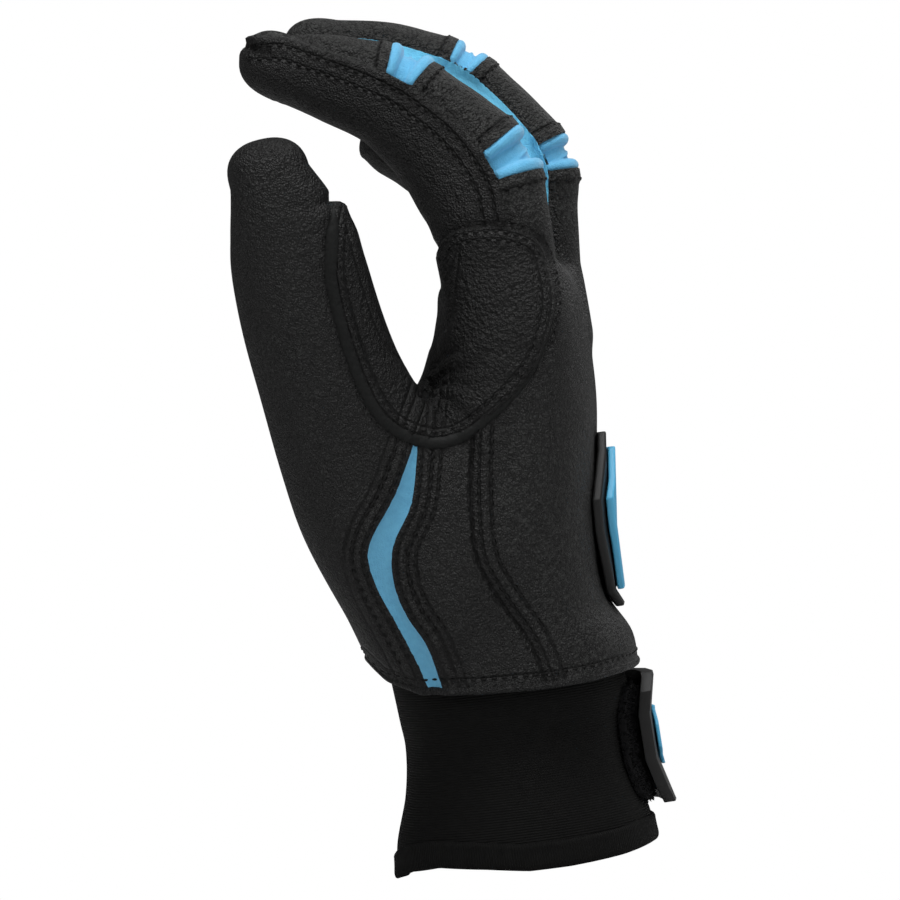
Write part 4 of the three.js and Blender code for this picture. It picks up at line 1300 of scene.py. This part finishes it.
def insert_base(name, which, phi, b):
    """Places on a finger over a joint: phi turns round it from the back, b goes across from -1 to 1."""
    x, y, z, depth, width = finger_rows[name][STATIONS[which]]
    axis, heading = hinge_of(name, which)
    n, t = outward(heading), along(heading)
    power = 2 / SQUARE_FINGER
    deep = signed_power(np.cos(phi), power) * depth
    wide = np.sign(phi) * np.abs(np.sin(phi)) ** power * width
    half = ((np.array([x, z]) - axis) @ n + deep) * wedge_slope(name, which) + 0.5
    shift = b * half
    places = [x + n[0] * deep + t[0] * shift, y + wide + 0 * b, z + n[1] * deep + t[1] * shift]
    return np.stack(places, axis=-1), half, shift


def insert_reach(name, which, side, b):
    """How far an insert turns round its finger on one side, for each place across it."""
    if name == "index" and side < 0:
        trial = np.linspace(0.3, 1.7, 71)[:, None]
        spots = insert_base(name, which, -trial, b)[0]
        past = line_field(RIDGE, seen(spots.reshape(-1, 3))).reshape(spots.shape[:2])
        return trial[(past < -0.5).argmax(axis=0), 0]
    share = (STRIP_SHARES[1] if side in STRIP_SIDES[name] else PLAIN_SHARE) - TUCK
    return np.full(b.size, math.acos(share ** (SQUARE_FINGER / 2)))


# %% Gather the inserts


def make_insert(name, which):
    """One gathered insert: two rolls along its long edges and a folded web between them."""
    b = np.linspace(-1, 1, INSERT_STEPS[1])[None, :]
    s = np.linspace(0, 1, INSERT_STEPS[0])[:, None]
    near_turn, far_turn = (insert_reach(name, which, side, b) for side in (-1, 1))
    phi = -near_turn * (1 - s) + far_turn * s
    base, half, shift = insert_base(name, which, phi, b)
    base = pull_to_field(base.reshape(-1, 3), lambda p: limb_field(name, p), 3).reshape(*INSERT_STEPS, 3)
    across, around = np.gradient(base, axis=1), np.gradient(base, axis=0)
    normal = unit(np.cross(around, across))
    lean = np.sign((normal[:, :, [0, 2]] @ outward(hinge_of(name, which)[1])).mean())
    normal *= lean
    roll = np.clip(ROLL_SHARE * half, *ROLL_SIZES)
    inside = np.clip(1 - ((np.abs(shift) - half + 0.95 * roll) / roll) ** 2, 0, None)
    fold = ridge_bump(shift / half, 1.0 * s - 0.5, 0.17)
    web = -WEB_SINK + FOLD_RISE * fold + 0.2 * wave(base.reshape(-1, 3), 5, 9).reshape(shift.shape)
    lift = np.maximum(-ROLL_SINK + ROLL_TALL * roll * np.sqrt(inside), web)
    lift += 0.12 * wave(base.reshape(-1, 3), 7, 11).reshape(shift.shape)
    run = lengths(base[:, INSERT_STEPS[1] // 2])
    ends = np.clip(np.minimum(run, run[-1] - run) / END_ROUND, 0, 1)[:, None]
    lift = -END_SINK + (lift + END_SINK) * np.sqrt(np.clip(1 - (1 - ends) ** 2, 0, 1))
    places, faces = closed_grid(base + normal * lift[:, :, None], base - normal * INSERT_UNDER)
    if lean < 0:
        faces = faces[:, ::-1]
    obj = make_object(f"{name}_{which}_insert", places, faces, insert_fabric)
    attach(obj, bend_names.index(f"{name}_{which}_flex"))
    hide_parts(f"{name}_{which}_flex")
    return obj


inserts = [make_insert(name, which) for name in FINGERS for which in ("lower", "upper")]
print("inserts:", ", ".join(o.name for o in inserts))

# %% [markdown]
# ## Cuff and hem
#
# The cuff is a knitted elastic tube, a little waisted, with fine ribs round it. Its hem is bound with
# a ribbed tape. Both are lofted from the level sections.

# %% Cuff
CUFF_RIB = 0.55  # from one rib of the knit to the next
KNIT_WALL = 2.0
AROUND = 160
dense_cuff = catmull(CUFF_SECTIONS, 16)


def cuff_ring(z, grow):
    """A ring of points round the cuff at a height, its outline grown by some mm."""
    low, high, half = (np.interp(z, dense_cuff[:, 0], dense_cuff[:, k]) for k in (1, 2, 3))
    phi = np.linspace(0, 2 * math.pi, AROUND, endpoint=False)
    power = 2 / SQUARE_CUFF
    x = (low + high) / 2 + ((high - low) / 2 + grow) * signed_power(np.cos(phi), power)
    y = (half + grow) * signed_power(np.sin(phi), power)
    return np.stack([x, y, np.full(AROUND, float(z))], axis=1)


def loft(profile, wrap, name, material, rib):
    """A closed ring-shaped loft from a profile of (height, growth), with a rib phase for each point."""
    rings = [cuff_ring(z, grow) for z, grow in profile]
    places = np.vstack(rings)
    count = len(profile)
    index = np.arange(count * AROUND).reshape(count, AROUND)
    following = np.roll(index, -1, axis=1)
    upper = np.roll(index, -1, axis=0)
    quads = np.stack([index, following, np.roll(following, -1, axis=0), upper], axis=-1).reshape(-1, 4)
    return make_object(name, places + wrap(places), quads, material, None, {"rib": rib(places)})


KNIT_SPAN, KNIT_RINGS = (5.5, 51.5), 70
heights = np.linspace(*KNIT_SPAN, KNIT_RINGS)
wall = [(z, 0.0) for z in heights] + [(z, -KNIT_WALL) for z in heights[::-1]]


def soft_folds(places):
    """Shallow slack in the knit, none at its ends."""
    amount = 0.5 * wave(places * np.array([1, 1, 0.6]), 24, 21)
    amount = amount * smooth(places[:, 2], 6, 16) * (1 - smooth(places[:, 2], 30, 40))
    return level(places) * amount[:, None]


def rib_phase(places):
    """The phase of the knit's ribs, which climb a little round the cuff."""
    return (places[:, 2] + 0.03 * places[:, 0]) * 2 * math.pi / CUFF_RIB


cuff_obj = loft(wall, soft_folds, "cuff_knit", knit, rib_phase)
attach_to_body(cuff_obj, "hand")
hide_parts("cuff")
print("cuff:", len(cuff_obj.data.polygons), "faces")

# %% Hem
HEM_TOP = 5.9
HEM_GROOVE = 3.7
HEM_WAVE = [
    (-34, 0), (-30, 0.2), (-25, 2.7), (-19, 3.4), (-9, 2.0), (0, 0.4), (9, 0), (21, 0), (29, 0.5), (34, 0.6),
]  # x, and how far the hem's near side hangs higher there
HEM_SQUARE = 0.45  # power of its profile, a squarish ring
HEM_MIDDLE, HEM_HALF = -0.9, 1.75  # growth at the profile's middle, and half its thickness
HEM_SIZES = (28, 34)  # rough half sizes in x and y
BINDING_RIBS = 330
turn = np.linspace(0, 2 * math.pi, 28, endpoint=False)
hem_profile = [
    (
        HEM_TOP / 2 - HEM_TOP / 2 * signed_power(math.cos(a), HEM_SQUARE),
        HEM_MIDDLE + HEM_HALF * signed_power(-math.sin(a), HEM_SQUARE),
    )
    for a in turn
]


def around_angle(places):
    """The phase of the binding's upright ribs."""
    return np.arctan2(places[:, 1] / HEM_SIZES[1], places[:, 0] / HEM_SIZES[0]) * BINDING_RIBS


def hem_relief(places):
    """The binding's groove and slack, and the wave of its near side, which hangs unevenly."""
    groove = ridge_bump(places[:, 2], HEM_GROOVE, 0.7)
    xs, lift = np.array(HEM_WAVE, float).T
    rise = np.interp(places[:, 0], xs, lift) * smooth(-places[:, 1], -4, 14)
    swell = 0.15 * wave(places, 18, 31) - 0.4 * groove
    return level(places) * swell[:, None] + np.array([0, 0, 1]) * rise[:, None]


hem_obj = loft(hem_profile[::-1], hem_relief, "cuff_binding", knit, around_angle)
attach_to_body(hem_obj, "hand")
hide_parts("cuff_hem")
print("hem:", len(hem_obj.data.polygons), "faces")

# %% Rolled edge of the leather
bottom_edge = np.unique(open_edges[np.abs(d_edge[open_edges]).max(axis=1) < 0.6])
loop = points[bottom_edge]
EDGE_MIDDLE = 2  # the loop's middle in x
order = np.argsort(np.arctan2(loop[:, 1], loop[:, 0] - EDGE_MIDDLE))
loop = loop[order]
loop = np.vstack([loop, loop[:1]])
run = lengths(loop)
WELT_POINTS, WELT_SIDES = 420, 14
WELT_RADIUS, WELT_SQUASH = 0.85, 1.1
WELT_IN, WELT_UP = 0.3, 0.4  # from the leather's edge to the welt's middle
PLAIN = 25.0  # mm to the nearest seam, for the shader
spread = np.linspace(0, run[-1], WELT_POINTS, endpoint=False)
path = np.stack([np.interp(spread, run, loop[:, k]) for k in range(3)], axis=1)


def soften(path, rounds, closed):
    """Averages a path's points with their neighbours."""
    for _ in range(rounds):
        mean = (np.roll(path, 1, axis=0) + 2 * path + np.roll(path, -1, axis=0)) / 4
        if not closed:
            mean[0], mean[-1] = path[0], path[-1]
        path = mean
    return path


def tube(path, radius, sides, closed, squash=1.0, up=None):
    """Points and quads of a tube along a path. The first side axis points along up where it is given."""
    tangent = np.roll(path, -1, axis=0) - np.roll(path, 1, axis=0)
    if not closed:
        tangent[0], tangent[-1] = path[1] - path[0], path[-1] - path[-2]
    tangent = unit(tangent)
    up = np.tile([0.0, 0.0, 1.0], (len(path), 1)) if up is None else up
    across = unit(np.cross(tangent, up))
    up = np.cross(across, tangent)
    a = np.linspace(0, 2 * math.pi, sides, endpoint=False)
    radius = np.broadcast_to(radius, len(path))[:, None, None]
    sideways = np.cos(a)[None, :, None] * across[:, None, :]
    places = path[:, None, :] + radius * (sideways + squash * np.sin(a)[None, :, None] * up[:, None, :])
    index = np.arange(len(path) * sides).reshape(len(path), sides)
    ahead = np.roll(index, -1, axis=0)
    quads = np.stack([index, np.roll(index, -1, axis=1), np.roll(ahead, -1, axis=1), ahead], axis=-1)
    if not closed:
        quads = quads[:-1]
    return places.reshape(-1, 3), quads.reshape(-1, 4)[:, ::-1]


path = soften(path, 4, True)
away = level(path - [EDGE_MIDDLE, 0, 0])
path = path - away * WELT_IN + np.array([0, 0, WELT_UP])
places, faces = tube(path, WELT_RADIUS, WELT_SIDES, True, WELT_SQUASH)
plain = {k: np.full(len(places), PLAIN) for k in seam_data}
plain |= {k: np.zeros(len(places)) for k in ("rough", "dorsal", "crease")}
welt = make_object("wrist_edge", places, faces, leather, None, plain)
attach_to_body(welt, "hand")
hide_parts("wrist_welt")
print("edge of", round(float(run[-1])), "mm")

# %% [markdown]
# ## Strap, back guard and their inlays
#
# These are moulded or cut plates. Their solids already have the right shape, so each is copied and its
# edges are rounded, as a mould would leave them. The strap rides on its own hinge.

# %% Rounded copies of the plates
body_of = {node: body for body, nodes in frame["record"]["behaviour"]["bodies"].items() for node in nodes}


WELD = 0.00001  # in metres
FLAT, SHARP, SHADE = (math.radians(a) for a in (3, 38, 40))  # angles that count as flat or as an edge


def dress(node, material, slot, rounding):
    """A copy of a solid with rounded edges."""
    mesh = frame["nodes"][node].data.copy()
    mesh.name = f"{node}_plate"
    work = bmesh.new()
    work.from_mesh(mesh)
    bmesh.ops.remove_doubles(work, verts=work.verts, dist=WELD)
    bmesh.ops.dissolve_limit(work, angle_limit=FLAT, verts=work.verts, edges=work.edges)
    sharp = [e for e in work.edges if len(e.link_faces) == 2 and e.calc_face_angle(0) > SHARP]
    bmesh.ops.bevel(
        work, geom=sharp, offset=rounding * MM, segments=3, profile=0.6, affect="EDGES", clamp_overlap=True,
    )
    bmesh.ops.triangulate(work, faces=[f for f in work.faces if len(f.verts) > 4])
    work.to_mesh(mesh)
    work.free()
    mesh.polygons.foreach_set("use_smooth", np.ones(len(mesh.polygons), bool))
    mesh.set_sharp_from_angle(angle=SHADE)
    mesh.materials.clear()
    mesh.materials.append(material)
    obj = add_object(mesh.name, mesh)
    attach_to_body(obj, body_of[node])
    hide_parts(node)
    return obj


PLATES = {
    "strap": (rubber, "moulding", 0.5), "strap_inlay": (blue_rubber, "moulded_colour", 0.3),
    "strap_anchor": (rubber, "moulding", 0.5), "strap_hook_pad": (pile, "pile", 0.25),
    "loop_patch": (pile, "pile", 0.4), "back_guard": (rubber, "moulding", 0.6),
    "back_guard_inlay": (blue_rubber, "moulded_colour", 0.5),
}
plates = {node: dress(node, *how) for node, how in PLATES.items()}
print("plates:", ", ".join(plates))

# %% [markdown]
# ## Pile and stitches
#
# Loop pile is thousands of short bent fibres, and a seam is a row of short thread lengths. Both repeat
# one small shape, so Geometry Nodes place the copies, and the result is kept as a plain mesh.

# %% Small shapes to copy


def small_mesh(name, places, faces):
    """A shape for Geometry Nodes to copy. It isn't in the scene itself."""
    mesh = bpy.data.meshes.new(name)
    mesh.from_pydata([tuple(np.asarray(p) * MM) for p in places], [], faces)
    mesh.polygons.foreach_set("use_smooth", np.ones(len(mesh.polygons), bool))
    return bpy.data.objects.new(name, mesh)


def capsule(length, width, thick, sides=6):
    """A short thread lying along x: three rings and two end points, a little arched."""
    a = np.linspace(0, 2 * math.pi, sides, endpoint=False)
    rings = [(-0.5, 0.0, -0.6), (-0.34, 0.85, 0.0), (0.0, 1.0, 0.25), (0.34, 0.85, 0.0), (0.5, 0.0, -0.6)]
    places = []
    for x, size, rise in rings:
        if size == 0:
            places.append((x * length, 0, rise * thick))
        else:
            wide, tall = size * width / 2, size * thick / 2
            places += [(x * length, wide * math.cos(t), tall * math.sin(t) + rise * thick) for t in a]
    first, last = 0, len(places) - 1
    faces = [(first, 1 + (k + 1) % sides, 1 + k) for k in range(sides)]
    for ring in range(2):
        low, high = 1 + ring * sides, 1 + (ring + 1) * sides
        faces += [(low + k, low + (k + 1) % sides, high + (k + 1) % sides, high + k) for k in range(sides)]
    tail = 1 + 2 * sides
    faces += [(tail + k, tail + (k + 1) % sides, last) for k in range(sides)]
    return places, faces


STITCH_SIZES = (1.75, 0.62, 0.55)  # length, width and thickness
STITCH = small_mesh("stitch_shape", *capsule(*STITCH_SIZES))
HAIR_POINTS = [(-0.12, -0.07, 0), (0.12, -0.07, 0), (0, 0.14, 0), (0.25, 0, 0.7), (0.62, 0.1, 0.95)]
HAIR_FACES = [(0, 1, 3), (1, 2, 3), (2, 0, 3), (0, 3, 4), (1, 3, 4)]
HAIR = small_mesh("hair_shape", HAIR_POINTS, HAIR_FACES)


print("faces of a stitch and a fibre:", len(STITCH.data.polygons), len(HAIR.data.polygons))

# %% Helpers for Geometry Nodes


def new_tree(name, sockets):
    """A Geometry Nodes tree with its input and output, and the identifiers of its named inputs."""
    tree = bpy.data.node_groups.new(name, "GeometryNodeTree")
    add = tree.interface.new_socket
    add("Geometry", in_out="INPUT", socket_type="NodeSocketGeometry")
    add("Geometry", in_out="OUTPUT", socket_type="NodeSocketGeometry")
    keys = {n: add(n, in_out="INPUT", socket_type=k).identifier for n, k in sockets.items()}
    return tree, tree.nodes.new("NodeGroupInput"), tree.nodes.new("NodeGroupOutput"), keys


def add_node(tree, kind, links=None, **settings):
    """Adds a node, sets it, and links outputs to its inputs by the inputs' names."""
    made = tree.nodes.new(kind)
    for key, value in settings.items():
        setattr(made, key, value)
    for key, output in (links or {}).items():
        tree.links.new(output, made.inputs[key])
    return made


def named_vector(tree, name):
    """A vector attribute of the points, by its name."""
    made = add_node(tree, "GeometryNodeInputNamedAttribute", data_type="FLOAT_VECTOR")
    made.inputs["Name"].default_value = name
    return made.outputs["Attribute"]


def end_tree(tree, out, copies, material):
    """Makes the copies one plain mesh with a material, and gives it out."""
    real = add_node(tree, "GeometryNodeRealizeInstances", {"Geometry": copies.outputs["Instances"]})
    plain = {"Geometry": real.outputs["Geometry"], "Material": material}
    dyed = add_node(tree, "GeometryNodeSetMaterial", plain)
    tree.links.new(dyed.outputs["Geometry"], out.inputs["Geometry"])


def run_tree(obj, tree, values, name):
    """Runs a tree on an object and returns its result as a plain mesh."""
    modifier = obj.modifiers.new("copies", "NODES")
    modifier.node_group = tree
    for key, value in values.items():
        modifier[key] = value
    graph = bpy.context.evaluated_depsgraph_get()
    mesh = bpy.data.meshes.new_from_object(obj.evaluated_get(graph))
    mesh.name = name
    obj.modifiers.remove(modifier)
    return mesh


# %% A tree that lays stitches
stitch_sockets = {"Shape": "NodeSocketObject", "Thread": "NodeSocketMaterial"}
stitch_tree, inp, out, stitch_keys = new_tree("lay_stitches", stitch_sockets)
shape = add_node(stitch_tree, "GeometryNodeObjectInfo", {"Object": inp.outputs["Shape"]})
run_vector = {"Vector": named_vector(stitch_tree, "run")}
along_run = add_node(stitch_tree, "FunctionNodeAlignRotationToVector", run_vector, axis="X")
upright = add_node(stitch_tree, "FunctionNodeAlignRotationToVector", {
    "Rotation": along_run.outputs["Rotation"], "Vector": named_vector(stitch_tree, "lift"),
}, axis="Z", pivot_axis="X")
copies = add_node(stitch_tree, "GeometryNodeInstanceOnPoints", {
    "Points": inp.outputs["Geometry"], "Instance": shape.outputs["Geometry"],
    "Rotation": upright.outputs["Rotation"],
})
end_tree(stitch_tree, out, copies, inp.outputs["Thread"])
print("stitch tree:", len(stitch_tree.nodes), "nodes")

# %% A tree that grows pile
FIBRE_LEAN = 0.6  # in radians
pile_sockets = {
    "Fibre": "NodeSocketObject", "Density": "NodeSocketFloat", "Seed": "NodeSocketInt",
    "Yarn": "NodeSocketMaterial",
}
pile_tree, inp, out, pile_keys = new_tree("grow_pile", pile_sockets)
fibre = add_node(pile_tree, "GeometryNodeObjectInfo", {"Object": inp.outputs["Fibre"]})
spots = add_node(pile_tree, "GeometryNodeDistributePointsOnFaces", {
    "Mesh": inp.outputs["Geometry"], "Density": inp.outputs["Density"], "Seed": inp.outputs["Seed"],
})
seed = {"Seed": inp.outputs["Seed"]}
spin = add_node(pile_tree, "FunctionNodeRandomValue", seed, data_type="FLOAT_VECTOR")
spin.inputs["Min"].default_value = (-FIBRE_LEAN, -FIBRE_LEAN, 0)
spin.inputs["Max"].default_value = (FIBRE_LEAN, FIBRE_LEAN, 6.28)
turned = add_node(pile_tree, "FunctionNodeRotateRotation", {
    "Rotation": spots.outputs["Rotation"], "Rotate By": spin.outputs["Value"],
}, rotation_space="LOCAL")
grown = add_node(pile_tree, "GeometryNodeInstanceOnPoints", {
    "Points": spots.outputs["Points"], "Instance": fibre.outputs["Geometry"],
    "Rotation": turned.outputs["Rotation"],
})
end_tree(pile_tree, out, grown, inp.outputs["Yarn"])
print("pile tree:", len(pile_tree.nodes), "nodes")

# %% Pile on the loop patch
PILE_DENSITY = 2.6e6  # fibres to a square metre
PILE_SEED = 4
values = {
    pile_keys["Fibre"]: HAIR, pile_keys["Density"]: PILE_DENSITY, pile_keys["Seed"]: PILE_SEED,
    pile_keys["Yarn"]: pile,
}
fuzz = add_object("loop_pile", run_tree(plates["loop_patch"], pile_tree, values, "loop_pile"))
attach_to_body(fuzz, body_of["loop_patch"])
print("pile faces:", len(fuzz.data.polygons))

# %% [markdown]
# ## Rows of stitches and the thick seams
#
# Each row is a seam line moved sideways a little and laid on the skin along the camera's rays, or along a
# finger's own coordinates where the camera cannot see it. The patch round the thumb's web has a thick
# overlocked seam, which is a tube with a rough surface.

# %% Lay lines on the skin
skin_tree = BVHTree.FromPolygons(points.tolist(), tris.tolist())
EYE = np.array([aim_x, -DISTANCE, aim_z])
PITCH = 2.25
STITCH_SINK = 0.15
every_stitch = []  # place, run, lift


def resample(line, pitch):
    """A smooth open line as points a pitch apart."""
    dense = catmull(np.array(line, float), 14)
    run = lengths(dense)
    at = np.arange(0, run[-1], pitch)
    return np.stack([np.interp(at, run, dense[:, k]) for k in range(dense.shape[1])], axis=1)


def offset_line(line, offset, pitch):
    """A line in the photograph's plane, moved to its left by an offset."""
    fine = resample(line, 0.5)
    tangent = unit(np.gradient(fine, axis=0))
    moved = fine + offset * np.stack([-tangent[:, 1], tangent[:, 0]], axis=1)
    return resample(moved[::3], pitch)


def skin_spots(finds):
    """Places and normals of the skin where searches found it. Misses are left out."""
    found = [(hit, normals[tris[index]].mean(axis=0)) for hit, _, index, _ in finds if hit is not None]
    places, lifts = (np.array([f[k] for f in found]).reshape(-1, 3) for k in (0, 1))
    return places, unit(lifts)


def drape(line, eye=EYE):
    """Points of the photograph's plane laid on the skin, as the eye sees them."""
    rays = (Vector(np.array([x, 0.0, z]) - eye).normalized() for x, z in line)
    return skin_spots(skin_tree.ray_cast(Vector(eye), ray) for ray in rays)


def on_skin(spots):
    """The skin's places nearest to some points."""
    return skin_spots(skin_tree.find_nearest(Vector(spot)) for spot in spots)


def lay_row(places, lifts):
    """Adds one row of stitches through the places."""
    if len(places) < 3:
        return
    run = np.gradient(places, axis=0)
    run /= np.maximum(np.linalg.norm(run, axis=1), 1e-6)[:, None]
    every_stitch.append((places - lifts * STITCH_SINK, run, lifts))


# %% Rows along the seams
SIDE_ROWS = (1.7, 4.4)
ROWS = (
    (STRIPE_FRONT[:-1], (-1.2, -3.6)), (STRIPE_BACK[:-2], (1.0, 3.5, 5.3)), (SIDE_SEAM[:-1], SIDE_ROWS),
    (PATCH_LOOP[:11], (2.7,)), (PATCH_LOOP[10:21], (1.2,)), (PATCH_LOOP[9:21], (3.0,)),
    (PATCH_LOOP[12:18], (-1.3,)), (RIDGE, (-2.1, -5.0)),
)  # each line, and its rows' distances to the left
FAR_ROW = FAR_SEAM[:-1] + [(4, 42)]  # ends above the leather's edge
FAR_EYE = EYE * np.array([1, -1, 1])
for line, offsets in ROWS:
    for offset in offsets:
        lay_row(*drape(offset_line(line, offset, PITCH)))
for offset in SIDE_ROWS:
    lay_row(*drape(offset_line(FAR_ROW, offset, PITCH), FAR_EYE))
print("rows along the seams:", len(every_stitch))

# %% Rows at the inserts and round the wrist
HEM_ROW = 1.7  # from an insert's edge to the stitches beside it
WRIST_ROW = np.array([0, 0, 2.4])  # from the welt to the stitches above it
for name in FINGERS:
    for which in ("lower", "upper"):
        turns = [insert_reach(name, which, side, np.ones((1, 1)))[0] for side in (-1, 1)]
        phi = np.linspace(-turns[0], turns[1], 60)[:, None]
        for sign in (-1, 1):
            edge_row, _, _ = insert_base(name, which, phi, np.full((1, 1), float(sign)))
            step = along_3d(hinge_of(name, which)[1]) * sign * HEM_ROW
            row = resample(edge_row[:, 0] + step, PITCH)
            if name == "index":
                row = row[line_field(RIDGE, seen(row)) > 0.8]
            lay_row(*on_skin(row[on_finger(name, row, strips_field) > 1.2]))
lay_row(*on_skin(resample(path[::6] + away[::6] + WRIST_ROW, PITCH)))
hem_ring = cuff_ring(HEM_GROOVE, 0.5)
lay_row(hem_ring + hem_relief(hem_ring), level(hem_ring))
print("rows in all:", len(every_stitch))

# %% Make the stitches, one piece for each bend
places, runs, lifts = (np.vstack(x) for x in zip(*every_stitch))
groups = bend_of(places)
pieces = []
for bend in np.unique(groups):
    mine = groups == bend
    spots = bpy.data.meshes.new("spots")
    spots.from_pydata((places[mine] * MM).tolist(), [], [])
    for key, data in (("run", runs[mine]), ("lift", lifts[mine])):
        stored = spots.attributes.new(key, "FLOAT_VECTOR", "POINT").data
        stored.foreach_set("vector", data.astype(np.float32).ravel())
    holder = add_object("spots", spots)
    name = f"{bend_names[bend] if bend >= 0 else 'hand'}_stitches"
    values = {stitch_keys["Shape"]: STITCH, stitch_keys["Thread"]: thread}
    mesh = run_tree(holder, stitch_tree, values, name)
    bpy.data.objects.remove(holder)
    obj = add_object(name, mesh)
    attach(obj, bend)
    pieces.append(name)
print(len(places), "stitches in", len(pieces), "pieces")

# %% The thick seam round the web
TUBE_SIDES = 12
TUBE_PITCH = 0.6
TUBE_SINK = 0.5  # its middle lies this far under the skin
TUBE_SQUASH = 0.9


def taper(share):
    """The seam's radius along its run: full down the thumb, thin where it fades into the back."""
    return 0.5 + 1.15 * np.clip(np.minimum(share * 14, (1 - share) * 3.2), 0, 1)


places, lifts = drape(offset_line(SEAM_BAND, 0.0, TUBE_PITCH))
places = soften(places, 3, False)
radius = taper(np.linspace(0, 1, len(places)))
centre = places - lifts * TUBE_SINK
groups = bend_of(places)
starts = [0] + [i for i in range(1, len(groups)) if groups[i] != groups[i - 1]]
for n, start in enumerate(starts):  # one tube for each bend it passes
    stop = starts[n + 1] + 1 if n + 1 < len(starts) else len(groups)
    if stop - start < 2:
        continue
    some = slice(start, stop)
    tube_points, faces = tube(centre[some], radius[some], TUBE_SIDES, False, TUBE_SQUASH, lifts[some])
    last_ring = len(tube_points) - TUBE_SIDES
    caps = [tuple(range(TUBE_SIDES)), tuple(last_ring + np.arange(TUBE_SIDES - 1, -1, -1))]
    radial = tube_points - np.repeat(centre[some], TUBE_SIDES, axis=0)
    obj = make_object(f"web_seam_{n}", tube_points, faces.tolist() + caps, binding, radial)
    attach(obj, groups[start])
print("thick seam in", len(starts), "stretches")

# %% Vent hole, a dark disc of painted shade
VENT = (24.6, 135.6)  # its middle in the photograph's plane
VENT_RADIUS = 1.0
VENT_SIDES = 18
VENT_LIFT = 0.08
spot, lift = drape([VENT])
side_axis = np.cross(lift[0], [0, 0, 1.0])
side_axis /= np.linalg.norm(side_axis)
top_axis = np.cross(side_axis, lift[0])
turns = np.linspace(0, 2 * math.pi, VENT_SIDES, endpoint=False)
circle = np.cos(turns)[:, None] * side_axis + np.sin(turns)[:, None] * top_axis
rim = spot[0] + lift[0] * VENT_LIFT + VENT_RADIUS * circle
# The hole isn't cut: a flat dark disc on the leather is painted shade for its inside.
vent = make_object("vent_hole", rim, [tuple(range(VENT_SIDES))], thread)
attach(vent, bend_of(spot)[0])
print("vent hole at", spot[0].round(1), "mm")
